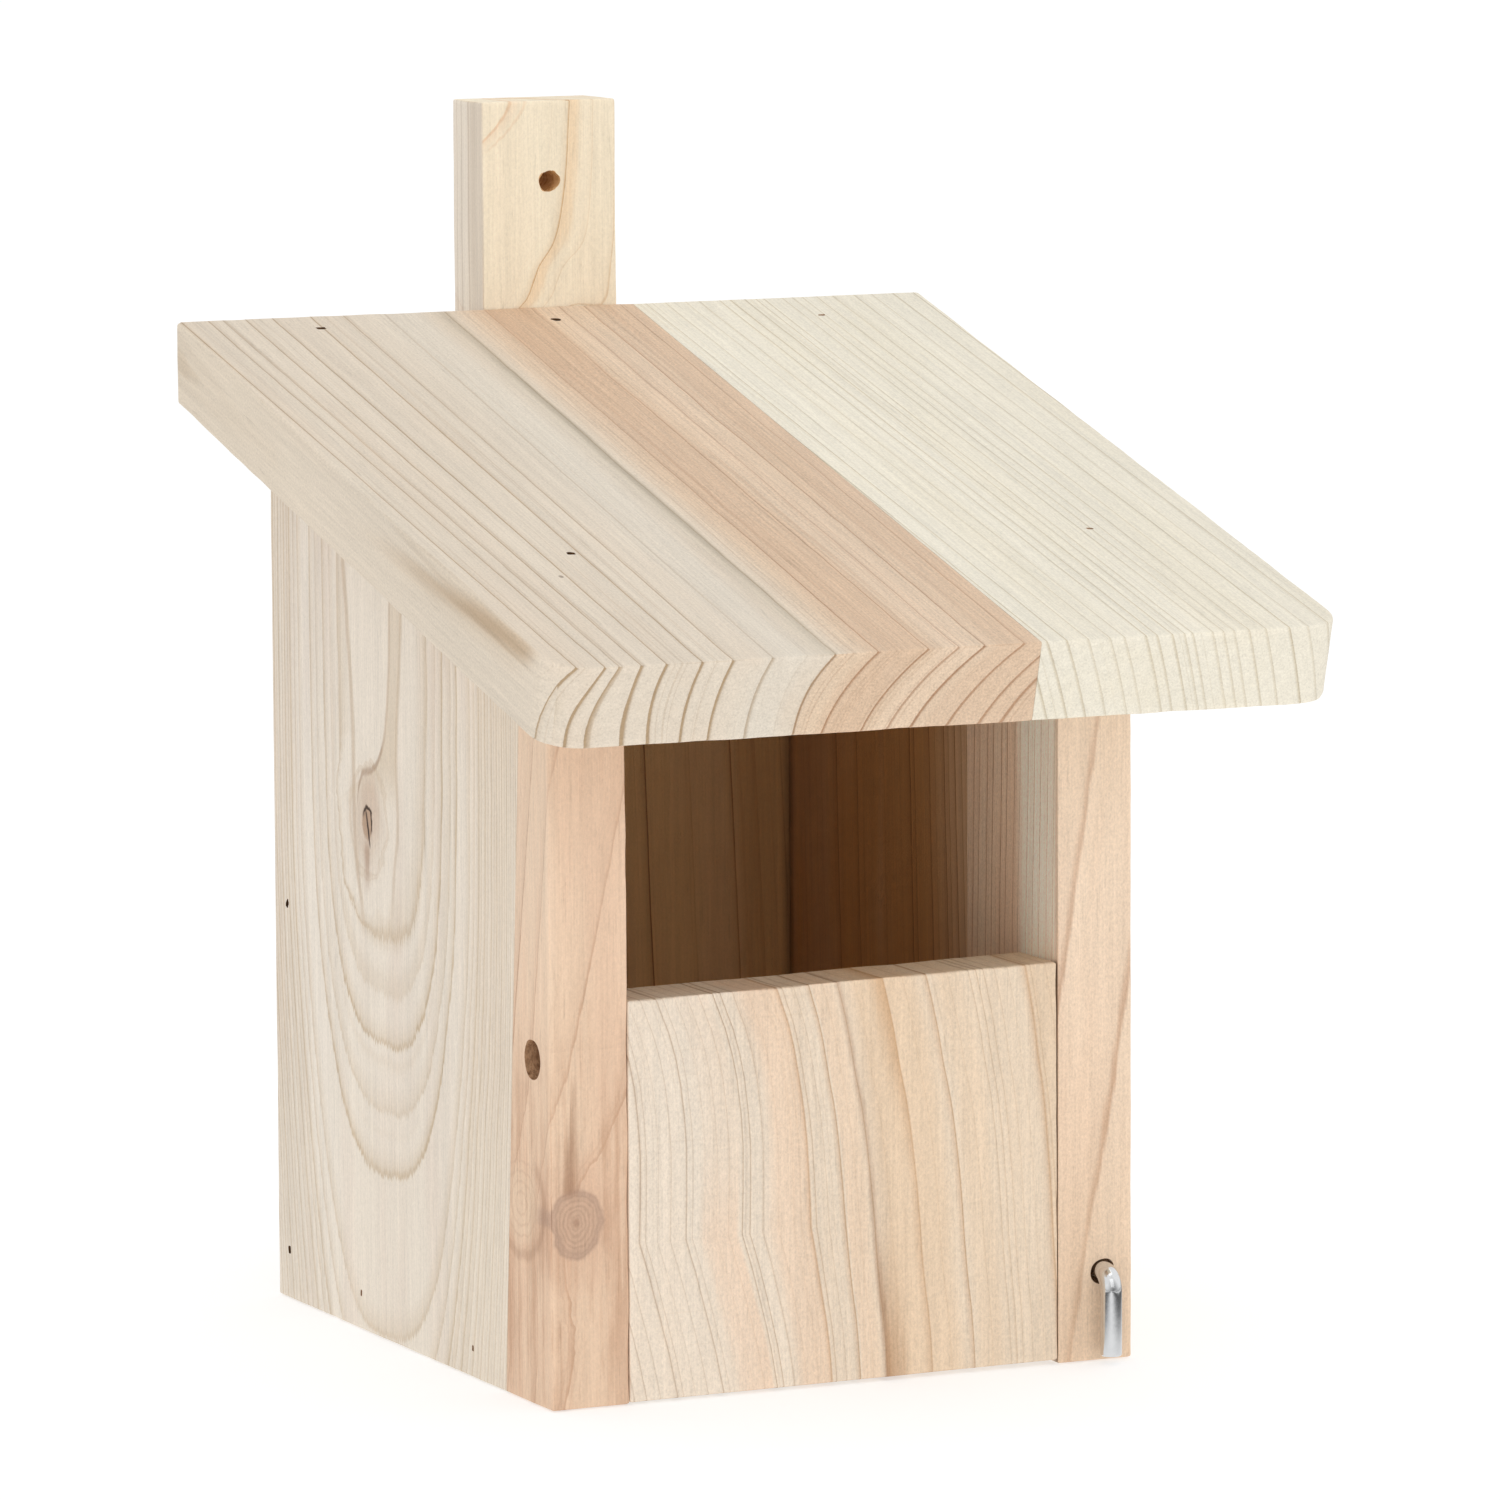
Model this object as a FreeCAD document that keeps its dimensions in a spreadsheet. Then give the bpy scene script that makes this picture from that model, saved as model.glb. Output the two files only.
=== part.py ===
import FreeCAD, Part
import Sketcher
import math
import os

# Open-fronted bird nest box of planed softwood boards, edge-glued from staves.
# Frame: +Z up, the entrance looks along -Y, +X is the right-hand side seen
# from the front.  Origin: centre of the bounding box, on the ground.
# All driving sizes are in millimetres and degrees.

V3 = FreeCAD.Vector
doc = FreeCAD.newDocument("nest_box")
sheet = doc.addObject("Spreadsheet::Sheet", "Dims")

DIMS = [
    # body
    ("body_w", 150.0, "body width over both sides"),
    ("body_d", 167.0, "body depth, front face to rear face"),
    ("side_th", 19.5, "side panel thickness"),
    ("back_th", 19.5, "back panel thickness"),
    ("floor_th", 19.5, "floor board thickness"),
    ("left_glue_low", 26.6, "left glue line behind the front face, at the bottom"),
    ("left_glue_top", 15.0, "left glue line behind the front face, at the top"),
    ("right_glue", 48.0, "right glue line behind the front face"),
    # roof
    ("roof_th", 19.3, "roof board thickness"),
    ("roof_deg", 15.4, "roof slope, falling to the front"),
    ("roof_under", 175.0, "roof underside above ground at the front face"),
    ("roof_w", 200.0, "roof width"),
    ("roof_shift", 1.0, "roof centre to the right of the body centre"),
    ("roof_over", 58.2, "top front arris in front of the front face"),
    ("roof_glue", 22.0, "roof glue line right of the body centre"),
    ("roof_round", 10.0, "plan radius of the two front corners"),
    # hanging batten
    ("batten_w", 36.0, "batten width"),
    ("batten_th", 18.3, "batten thickness"),
    ("batten_len", 291.7, "batten length"),
    ("bore_dia", 5.0, "hanging hole diameter"),
    ("bore_up", 271.9, "hanging hole above ground"),
    # front flap
    ("flap_th", 18.0, "flap thickness"),
    ("flap_gap_left", 0.15, "gap beside the flap, left"),
    ("flap_gap_right", 0.45, "gap beside the flap, right"),
    ("flap_top_left", 94.2, "flap top edge above ground, left end"),
    ("flap_top_right", 95.9, "flap top edge above ground, right end"),
    ("flap_low_left", 0.3, "flap bottom edge above ground, left end"),
    ("flap_low_right", 0.9, "flap bottom edge above ground, right end"),
    ("flap_back_gap", 0.4, "gap between flap and floor board"),
    # flap pivots
    ("pivot_back", 10.0, "pivot axis behind the front face"),
    ("pivot_up", 80.5, "pivot axis above ground"),
    ("pivot_bore", 9.5, "counterbore diameter"),
    ("pivot_bore_deep", 9.0, "counterbore depth"),
    ("pivot_dia", 4.0, "pivot screw shank diameter"),
    ("pivot_run", 0.06, "radial running clearance in the side panels"),
    ("pivot_len", 34.0, "pivot screw length under the head"),
    ("pivot_head_dia", 8.0, "pivot screw head diameter"),
    ("pivot_head_high", 2.6, "pivot screw head height"),
    ("pivot_end_play", 0.15, "play under the screw head"),
    # latch hook
    ("hook_dia", 5.1, "hook wire diameter"),
    ("hook_right", 67.2, "hook axis right of the body centre"),
    ("hook_up", 21.2, "hook axis above ground"),
    ("hook_run", 0.08, "radial running clearance of the shank"),
    ("hook_deep", 30.0, "depth of the hook hole"),
    ("hook_in", 29.0, "shank length inside the panel"),
    ("hook_mouth", 6.1, "mouth diameter of the hook hole"),
    ("hook_mouth_deep", 3.0, "depth of the wider mouth"),
    ("hook_stand", 4.5, "arm axis in front of the face"),
    ("hook_bend", 4.2, "bend radius at the wire's axis"),
    ("hook_arm", 19.5, "shank axis to arm tip"),
    # brad nails
    ("nail_dia", 1.8, "brad nail diameter"),
    ("nail_len", 42.0, "brad nail length"),
    ("nail_sink", 0.8, "nail head below the surface"),
    # batten screws
    ("screw_dia", 3.5, "batten screw shank diameter"),
    ("screw_head", 7.0, "batten screw countersunk head diameter"),
    ("screw_head_high", 2.6, "batten screw head height"),
    ("screw_len", 33.0, "batten screw length"),
    ("screw_sink", 0.3, "head below the batten's rear face"),
    ("screw_low", 30.0, "lowest batten screw above ground"),
    ("screw_pitch", 75.0, "spacing of the batten screws"),
]
for row, (alias, value, note) in enumerate(DIMS, start=1):
    sheet.set("A%d" % row, note)
    sheet.set("B%d" % row, repr(value))
    sheet.setAlias("B%d" % row, alias)
doc.recompute()
D = dict((alias, value) for alias, value, note in DIMS)

# Shared expressions: body centre, front face, roof slope.
XC = "(-Dims.roof_shift)"
YF = "(-(Dims.body_d + Dims.batten_th - Dims.roof_over) / 2)"
TAN = "tan(Dims.roof_deg)"
COS = "cos(Dims.roof_deg)"
SIN = "sin(Dims.roof_deg)"
slope = math.radians(D["roof_deg"])
tan_a, cos_a, sin_a = math.tan(slope), math.cos(slope), math.sin(slope)


def place(obj, x=None, y=None, z=None):
    for axis, expr in (("x", x), ("y", y), ("z", z)):
        if expr is not None:
            obj.setExpression("Placement.Base." + axis, expr)


def new_body(name):
    return doc.addObject("PartDesign::Body", name)


def new_sketch(body, role, name, offset=None):
    sketch = body.newObject("Sketcher::SketchObject", name)
    plane = [f for f in body.Origin.OriginFeatures if f.Role == role][0]
    sketch.AttachmentSupport = [(plane, "")]
    sketch.MapMode = "FlatFace"
    if offset is not None:
        sketch.setExpression("AttachmentOffset.Base.z", offset)
    return sketch


def pin_point(sketch, geo, pos, value, exprs):
    # Fix one sketch point by its distances from the sketch origin.
    for k, (kind, axis) in enumerate((("DistanceX", -2), ("DistanceY", -1))):
        if exprs[k] == "0":
            sketch.addConstraint(Sketcher.Constraint("PointOnObject", geo, pos, axis))
        else:
            index = sketch.addConstraint(
                Sketcher.Constraint(kind, -1, 1, geo, pos, value[k]))
            sketch.setExpression("Constraints[%d]" % index, exprs[k])


def polygon(sketch, points):
    # points: [((u, v), (u expression, v expression)), ...] in order
    n = len(points)
    for i in range(n):
        a, b = points[i][0], points[(i + 1) % n][0]
        sketch.addGeometry(Part.LineSegment(V3(a[0], a[1], 0), V3(b[0], b[1], 0)), False)
    for i in range(n):
        sketch.addConstraint(Sketcher.Constraint("Coincident", i, 2, (i + 1) % n, 1))
    for i, (value, exprs) in enumerate(points):
        pin_point(sketch, i, 1, value, exprs)


def circle(sketch, centre, exprs, dia, dia_expr):
    sketch.addGeometry(Part.Circle(V3(centre[0], centre[1], 0), V3(0, 0, 1), dia / 2.0), False)
    pin_point(sketch, 0, 3, centre, exprs)
    index = sketch.addConstraint(Sketcher.Constraint("Diameter", 0, dia))
    sketch.setExpression("Constraints[%d]" % index, dia_expr)


def pad(body, sketch, length, reverse=False):
    feature = body.newObject("PartDesign::Pad", body.Name + "_pad")
    feature.Profile = sketch
    feature.setExpression("Length", length)
    feature.Reversed = reverse
    return feature


def pocket(body, sketch, name, length, reverse=False):
    feature = body.newObject("PartDesign::Pocket", name)
    feature.Profile = sketch
    feature.setExpression("Length", length)
    feature.Reversed = reverse
    return feature


def cylinder(name, dia, length, direction, x, y, z):
    # direction is the way the cylinder runs from its base point
    cyl = doc.addObject("Part::Cylinder", name)
    cyl.setExpression("Radius", "(%s) / 2" % dia)
    cyl.setExpression("Height", length)
    cyl.Placement = FreeCAD.Placement(V3(0, 0, 0), FreeCAD.Rotation(V3(0, 0, 1), direction))
    place(cyl, x, y, z)
    return cyl


def group(name, members):
    compound = doc.addObject("Part::Compound", name)
    compound.Links = members
    return compound


def drilled(label, blank, tools):
    # The board with the listed holes taken out of it.
    cut = doc.addObject("Part::Cut", label)
    cut.Base = blank
    cut.Tool = tools[0] if len(tools) == 1 else group(label + "_holes", tools)
    cut.Label = label
    return cut


def roof_z(y_expr):
    # Underside of the roof above ground, y measured from the front face.
    return "(Dims.roof_under + (%s) * %s)" % (y_expr, TAN)


def roof_z_num(y):
    return D["roof_under"] + y * tan_a


nodes = {}

# ------------------------------------------------------------------ side panels
# Each side panel is two staves glued edge to edge, cut to the roof's slope.
# Sketch plane: u = distance behind the front face, v = height above ground.
gl, gt, gr, bd = D["left_glue_low"], D["left_glue_top"], D["right_glue"], D["body_d"]
LEFT_X = "%s - Dims.body_w / 2" % XC
RIGHT_X = "%s + Dims.body_w / 2 - Dims.side_th" % XC


def side_stave(name, points, x_expr):
    body = new_body(name)
    sketch = new_sketch(body, "YZ_Plane", name + "_outline")
    polygon(sketch, points)
    pad(body, sketch, "Dims.side_th")
    place(body, x_expr, YF, "0 mm")
    return body


left_rear = side_stave("left_rear_blank", [
    ((gl, 0), ("Dims.left_glue_low", "0")),
    ((bd, 0), ("Dims.body_d", "0")),
    ((bd, roof_z_num(bd)), ("Dims.body_d", roof_z("Dims.body_d"))),
    ((gt, roof_z_num(gt)), ("Dims.left_glue_top", roof_z("Dims.left_glue_top"))),
], LEFT_X)
left_front = side_stave("left_front_blank", [
    ((0, 0), ("0", "0")),
    ((gl, 0), ("Dims.left_glue_low", "0")),
    ((gt, roof_z_num(gt)), ("Dims.left_glue_top", roof_z("Dims.left_glue_top"))),
    ((0, D["roof_under"]), ("0", "Dims.roof_under")),
], LEFT_X)
right_rear = side_stave("right_rear_blank", [
    ((gr, 0), ("Dims.right_glue", "0")),
    ((bd, 0), ("Dims.body_d", "0")),
    ((bd, roof_z_num(bd)), ("Dims.body_d", roof_z("Dims.body_d"))),
    ((gr, roof_z_num(gr)), ("Dims.right_glue", roof_z("Dims.right_glue"))),
], RIGHT_X)
right_front = side_stave("right_front_blank", [
    ((0, 0), ("0", "0")),
    ((gr, 0), ("Dims.right_glue", "0")),
    ((gr, roof_z_num(gr)), ("Dims.right_glue", roof_z("Dims.right_glue"))),
    ((0, D["roof_under"]), ("0", "Dims.roof_under")),
], RIGHT_X)

# Pivot hole and counterbore in each front stave; outer face at local x = 0 on
# the left stave and at local x = side_th on the right stave.
PIVOT_AT = ((D["pivot_back"], D["pivot_up"]), ("Dims.pivot_back", "Dims.pivot_up"))
PIVOT_HOLE = (D["pivot_dia"] + 2 * D["pivot_run"], "Dims.pivot_dia + 2 * Dims.pivot_run")
for body, offset, reverse in ((left_front, None, True), (right_front, "Dims.side_th", False)):
    sketch = new_sketch(body, "YZ_Plane", body.Name + "_pivot", offset)
    circle(sketch, PIVOT_AT[0], PIVOT_AT[1], PIVOT_HOLE[0], PIVOT_HOLE[1])
    pocket(body, sketch, body.Name + "_pivot_hole", "Dims.side_th", reverse)
    sketch = new_sketch(body, "YZ_Plane", body.Name + "_bore", offset)
    circle(sketch, PIVOT_AT[0], PIVOT_AT[1], D["pivot_bore"], "Dims.pivot_bore")
    pocket(body, sketch, body.Name + "_counterbore", "Dims.pivot_bore_deep", reverse)

# Hook hole in the front edge of the right panel, with a wider broken-out mouth.
hook_u = D["hook_right"] - D["body_w"] / 2 + D["side_th"]
HOOK_AT = ("Dims.hook_right - Dims.body_w / 2 + Dims.side_th", "Dims.hook_up")
for name, dia, dia_expr, deep in (
        ("hook_hole", D["hook_dia"] + 2 * D["hook_run"], "Dims.hook_dia + 2 * Dims.hook_run", "Dims.hook_deep"),
        ("hook_mouth_hole", D["hook_mouth"], "Dims.hook_mouth", "Dims.hook_mouth_deep")):
    sketch = new_sketch(right_front, "XZ_Plane", name + "_circle")
    circle(sketch, (hook_u, D["hook_up"]), HOOK_AT, dia, dia_expr)
    pocket(right_front, sketch, name, deep)

# ------------------------------------------------------------------ back panel
# Stands between the sides, flush with their rear edges, top bevelled to the roof.
back = new_body("back_blank")
sketch = new_sketch(back, "YZ_Plane", "back_outline")
bt = D["back_th"]
polygon(sketch, [
    ((0, 0), ("0", "0")),
    ((bt, 0), ("Dims.back_th", "0")),
    ((bt, roof_z_num(bd)), ("Dims.back_th", roof_z("Dims.body_d"))),
    ((0, roof_z_num(bd - bt)), ("0", roof_z("Dims.body_d - Dims.back_th"))),
])
pad(back, sketch, "Dims.body_w - 2 * Dims.side_th")
place(back, "%s - Dims.body_w / 2 + Dims.side_th" % XC,
      "%s + Dims.body_d - Dims.back_th" % YF, "0 mm")

# ------------------------------------------------------------------ floor board
floor_blank = doc.addObject("Part::Box", "floor_blank")
floor_blank.setExpression("Length", "Dims.body_w - 2 * Dims.side_th")
floor_blank.setExpression("Width", "Dims.body_d - Dims.back_th - Dims.flap_th - Dims.flap_back_gap")
floor_blank.setExpression("Height", "Dims.floor_th")
place(floor_blank, "%s - Dims.body_w / 2 + Dims.side_th" % XC,
      "%s + Dims.flap_th + Dims.flap_back_gap" % YF, "0 mm")

# ------------------------------------------------------------------ roof
# Two staves in the slope's own frame: u runs up the slope from the square-cut
# front face, v is the thickness; the rear face is plumb.
under_len = (bd + D["roof_over"] - D["roof_th"] * sin_a) / cos_a
UNDER = "((Dims.body_d + Dims.roof_over - Dims.roof_th * %s) / %s)" % (SIN, COS)
ROOF_Y = "%s - Dims.roof_over + Dims.roof_th * %s" % (YF, SIN)
ROOF_Z = "Dims.roof_under - (Dims.roof_over - Dims.roof_th * %s) * %s" % (SIN, TAN)


def roof_stave(name, width, x_expr, outer_is_left):
    body = new_body(name)
    sketch = new_sketch(body, "YZ_Plane", name + "_profile")
    polygon(sketch, [
        ((0, 0), ("0", "0")),
        ((under_len, 0), (UNDER, "0")),
        ((under_len + D["roof_th"] * tan_a, D["roof_th"]),
         ("%s + Dims.roof_th * %s" % (UNDER, TAN), "Dims.roof_th")),
        ((0, D["roof_th"]), ("0", "Dims.roof_th")),
    ])
    blank = pad(body, sketch, width)
    doc.recompute()
    # the arris between the front face and the outer side
    xs = [v.X for v in blank.Shape.Vertexes]
    outer = min(xs) if outer_is_left else max(xs)
    chosen = [i for i, e in enumerate(blank.Shape.Edges, start=1)
              if all(abs(v.X - outer) < 1e-6 and abs(v.Y) < 1e-6 for v in e.Vertexes)]
    fillet = body.newObject("PartDesign::Fillet", name + "_corner")
    fillet.Base = (blank, ["Edge%d" % i for i in chosen])
    fillet.setExpression("Radius", "Dims.roof_round")
    body.Placement = FreeCAD.Placement(V3(0, 0, 0), FreeCAD.Rotation(V3(1, 0, 0), D["roof_deg"]))
    body.setExpression("Placement.Rotation.Angle", "Dims.roof_deg")
    place(body, x_expr, ROOF_Y, ROOF_Z)
    return body


# the roof is centred on the origin; the glue line is given from the body centre
roof_left = roof_stave("roof_left_blank", "Dims.roof_w / 2 - Dims.roof_shift + Dims.roof_glue",
                       "-Dims.roof_w / 2", True)
roof_right = roof_stave("roof_right_blank", "Dims.roof_w / 2 + Dims.roof_shift - Dims.roof_glue",
                        "%s + Dims.roof_glue" % XC, False)

# ------------------------------------------------------------------ hanging batten
batten = new_body("batten_blank")
sketch = new_sketch(batten, "XY_Plane", "batten_section")
bw, bth = D["batten_w"], D["batten_th"]
polygon(sketch, [
    ((-bw / 2, 0), ("-Dims.batten_w / 2", "0")),
    ((bw / 2, 0), ("Dims.batten_w / 2", "0")),
    ((bw / 2, bth), ("Dims.batten_w / 2", "Dims.batten_th")),
    ((-bw / 2, bth), ("-Dims.batten_w / 2", "Dims.batten_th")),
])
pad(batten, sketch, "Dims.batten_len")
sketch = new_sketch(batten, "XZ_Plane", "hanging_hole_circle")
circle(sketch, (0, D["bore_up"]), ("0", "Dims.bore_up"), D["bore_dia"], "Dims.bore_dia")
pocket(batten, sketch, "hanging_hole", "Dims.batten_th")
place(batten, XC, "%s + Dims.body_d" % YF, "0 mm")

# ------------------------------------------------------------------ front flap
flap = new_body("flap_blank")
sketch = new_sketch(flap, "XZ_Plane", "flap_outline")
flap_w = D["body_w"] - 2 * D["side_th"] - D["flap_gap_left"] - D["flap_gap_right"]
FLAP_W = "Dims.body_w - 2 * Dims.side_th - Dims.flap_gap_left - Dims.flap_gap_right"
polygon(sketch, [
    ((0, D["flap_low_left"]), ("0", "Dims.flap_low_left")),
    ((flap_w, D["flap_low_right"]), (FLAP_W, "Dims.flap_low_right")),
    ((flap_w, D["flap_top_right"]), (FLAP_W, "Dims.flap_top_right")),
    ((0, D["flap_top_left"]), ("0", "Dims.flap_top_left")),
])
pad(flap, sketch, "Dims.flap_th", True)
place(flap, "%s - Dims.body_w / 2 + Dims.side_th + Dims.flap_gap_left" % XC, YF, "0 mm")

# ------------------------------------------------------------------ turned screws


def turned_screw(name, points):
    # Half profile in the XY plane, turned about the X axis.
    body = new_body(name)
    sketch = new_sketch(body, "XY_Plane", name + "_profile")
    polygon(sketch, points)
    turn = body.newObject("PartDesign::Revolution", name + "_turning")
    turn.Profile = sketch
    turn.ReferenceAxis = (sketch, ["H_Axis"])
    turn.Angle = 360.0
    return body


ph, pr, pl, pk = D["pivot_head_dia"] / 2, D["pivot_dia"] / 2, D["pivot_len"], D["pivot_head_high"]


def pivot_screw(label, direction, x_expr):
    # Low domed head, plain shank, short point; local x runs from head to point.
    body = turned_screw(label, [
        ((-pk, 0), ("-Dims.pivot_head_high", "0")),
        ((0, 0), ("0", "0")),
        ((pl, 0), ("Dims.pivot_len", "0")),
        ((pl - 4, pr), ("Dims.pivot_len - 4", "Dims.pivot_dia / 2")),
        ((0, pr), ("0", "Dims.pivot_dia / 2")),
        ((0, ph), ("0", "Dims.pivot_head_dia / 2")),
        ((-pk * 0.55, ph), ("-Dims.pivot_head_high * 0.55", "Dims.pivot_head_dia / 2")),
        ((-pk, ph * 0.55), ("-Dims.pivot_head_high", "Dims.pivot_head_dia * 0.275")),
    ])
    body.Placement = FreeCAD.Placement(V3(0, 0, 0), FreeCAD.Rotation(V3(1, 0, 0), direction))
    place(body, x_expr, "%s + Dims.pivot_back" % YF, "Dims.pivot_up")
    body.Label = label
    return body


LEFT_SEAT = "%s - Dims.body_w / 2 + Dims.pivot_bore_deep - Dims.pivot_end_play" % XC
RIGHT_SEAT = "%s + Dims.body_w / 2 - Dims.pivot_bore_deep + Dims.pivot_end_play" % XC
nodes["left_pivot_screw"] = pivot_screw("left_pivot_screw", V3(1, 0, 0), LEFT_SEAT)
nodes["right_pivot_screw"] = pivot_screw("right_pivot_screw", V3(-1, 0, 0), RIGHT_SEAT)
nodes["front_flap"] = drilled("front_flap", flap,
                              [nodes["left_pivot_screw"], nodes["right_pivot_screw"]])

sh, sr, sl, sk_high = D["screw_head"] / 2, D["screw_dia"] / 2, D["screw_len"], D["screw_head_high"]
screws, screw_holes = [], []
for k in range(3):
    up = "Dims.screw_low + %d * Dims.screw_pitch" % k
    screw = turned_screw("batten_screw_%d" % (k + 1), [
        ((0, 0), ("0", "0")),
        ((sl, 0), ("Dims.screw_len", "0")),
        ((sl - 5, sr), ("Dims.screw_len - 5", "Dims.screw_dia / 2")),
        ((sk_high, sr), ("Dims.screw_head_high", "Dims.screw_dia / 2")),
        ((0.4, sh), ("0.4", "Dims.screw_head / 2")),
        ((0, sh), ("0", "Dims.screw_head / 2")),
    ])
    screw.Placement = FreeCAD.Placement(V3(0, 0, 0), FreeCAD.Rotation(V3(1, 0, 0), V3(0, -1, 0)))
    place(screw, XC, "%s + Dims.body_d + Dims.batten_th - Dims.screw_sink" % YF, up)
    screws.append(screw)
    recess = cylinder("screw_recess_%d" % (k + 1), "Dims.screw_head", "Dims.screw_sink", V3(0, 1, 0),
                      XC, "%s + Dims.body_d + Dims.batten_th - Dims.screw_sink" % YF, up)
    screw_holes += [screw, recess]
nodes["batten_screws"] = group("batten_screws", screws)
nodes["hanging_batten"] = drilled("hanging_batten", batten, screw_holes)

# ------------------------------------------------------------------ latch hook
# Round wire bent to an L: the shank turns in the right panel's front edge, the
# arm hangs down in the stored pose and turns up in front of the flap.
hook = new_body("latch_hook")
spine = new_sketch(hook, "YZ_Plane", "hook_spine")
hin, hst, hb, ha = D["hook_in"], D["hook_stand"], D["hook_bend"], D["hook_arm"]
spine.addGeometry(Part.LineSegment(V3(hin, 0, 0), V3(-(hst - hb), 0, 0)), False)
spine.addGeometry(Part.ArcOfCircle(Part.Circle(V3(-(hst - hb), -hb, 0), V3(0, 0, 1), hb),
                                   math.pi / 2, math.pi), False)
spine.addGeometry(Part.LineSegment(V3(-hst, -hb, 0), V3(-hst, -ha, 0)), False)
pin_point(spine, 0, 1, (hin, 0), ("Dims.hook_in", "0"))
pin_point(spine, 0, 2, (-(hst - hb), 0), ("-(Dims.hook_stand - Dims.hook_bend)", "0"))
spine.addConstraint(Sketcher.Constraint("Coincident", 0, 2, 1, 1))
spine.addConstraint(Sketcher.Constraint("Coincident", 1, 2, 2, 1))
pin_point(spine, 1, 3, (-(hst - hb), -hb), ("-(Dims.hook_stand - Dims.hook_bend)", "-Dims.hook_bend"))
level = spine.addConstraint(Sketcher.Constraint("DistanceY", -1, 1, 2, 1, -hb))
spine.setExpression("Constraints[%d]" % level, "-Dims.hook_bend")
pin_point(spine, 2, 2, (-hst, -ha), ("-Dims.hook_stand", "-Dims.hook_arm"))
section = new_sketch(hook, "XZ_Plane", "hook_section", "-Dims.hook_in")
circle(section, (0, 0), ("0", "0"), D["hook_dia"], "Dims.hook_dia")
doc.recompute()
pipe = hook.newObject("PartDesign::AdditivePipe", "hook_wire")
pipe.Profile = section
pipe.Spine = (spine, ["Edge1", "Edge2", "Edge3"])
place(hook, "%s + Dims.hook_right" % XC, YF, "Dims.hook_up")
hook.Label = "latch_hook"
nodes["latch_hook"] = hook

# ------------------------------------------------------------------ brad nails
# Each brad is driven a little below the surface; its hole runs from the
# surface to the nail's end.  Roof nails are driven plumb, the others level.


def brad(name, direction, x, y, z, sink_axis, sink_sign):
    spot = {"x": x, "y": y, "z": z}
    hole = cylinder(name + "_hole", "Dims.nail_dia", "Dims.nail_sink + Dims.nail_len",
                    direction, x, y, z)
    spot[sink_axis] = "%s + (%d) * Dims.nail_sink" % (spot[sink_axis], sink_sign)
    nail = cylinder(name, "Dims.nail_dia", "Dims.nail_len", direction,
                    spot["x"], spot["y"], spot["z"])
    return nail, hole


def roof_brad(name, right, behind):
    # right of the body centre, behind the front face; starts above the roof
    # surface by the run of the slope across the nail
    top = "%s + Dims.roof_th / %s" % (roof_z("%.2f" % behind), COS)
    return brad(name, V3(0, 0, -1), "%s + (%.2f)" % (XC, right), "%s + %.2f" % (YF, behind),
                top, "z", -1)


def side_brad(name, left, behind, up):
    if left:
        return brad(name, V3(1, 0, 0), LEFT_X, "%s + %.2f" % (YF, behind), "%.2f mm" % up, "x", 1)
    return brad(name, V3(-1, 0, 0), "%s + Dims.body_w / 2" % XC, "%s + %.2f" % (YF, behind),
                "%.2f mm" % up, "x", -1)


rr = [roof_brad("roof_rear_brad_%d" % i, a, b) for i, (a, b) in
      enumerate(((-64.7, 158.3), (-2.5, 157.9), (67.6, 153.3)), start=1)]
rf = [roof_brad("roof_front_brad_%d" % i, a, b) for i, (a, b) in
      enumerate(((-65.0, 8.5), (67.6, 7.0)), start=1)]
lb = [side_brad("left_back_brad_%d" % i, True, a, b) for i, (a, b) in
      enumerate(((159.1, 98.1), (160.0, 12.0)), start=1)]
rb = [side_brad("right_back_brad_%d" % i, False, a, b) for i, (a, b) in
      enumerate(((158.4, 102.0), (158.8, 14.0)), start=1)]
lf = [side_brad("left_floor_brad_%d" % i, True, a, b) for i, (a, b) in
      enumerate(((114.5, 8.8), (46.2, 6.8)), start=1)]
rl = [side_brad("right_floor_brad_%d" % i, False, a, b) for i, (a, b) in
      enumerate(((112.0, 9.2), (38.5, 8.0)), start=1)]
for label, pairs in (("roof_rear_nails", rr), ("roof_front_nails", rf),
                     ("left_back_nails", lb), ("right_back_nails", rb),
                     ("left_floor_nails", lf), ("right_floor_nails", rl)):
    nodes[label] = group(label, [nail for nail, hole in pairs])

# ------------------------------------------------------------------ drilled boards
nodes["roof_left_stave"] = drilled("roof_left_stave", roof_left, [rr[0][1], rr[1][1], rf[0][1]])
nodes["roof_right_stave"] = drilled("roof_right_stave", roof_right, [rr[2][1], rf[1][1]])
nodes["left_side_rear_stave"] = drilled("left_side_rear_stave", left_rear,
                                        [rr[0][1], lb[0][1], lb[1][1], lf[0][1], lf[1][1]])
nodes["left_side_front_stave"] = drilled("left_side_front_stave", left_front, [rf[0][1]])
nodes["right_side_rear_stave"] = drilled("right_side_rear_stave", right_rear,
                                         [rr[2][1], rb[0][1], rb[1][1], rl[0][1]])
nodes["right_side_front_stave"] = drilled("right_side_front_stave", right_front,
                                          [rf[1][1], rl[1][1]])
nodes["back_panel"] = drilled("back_panel", back,
                              [rr[1][1], lb[0][1], lb[1][1], rb[0][1], rb[1][1]] + screws)
nodes["floor_board"] = drilled("floor_board", floor_blank,
                               [lf[0][1], lf[1][1], rl[0][1], rl[1][1]])

doc.recompute()

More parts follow.
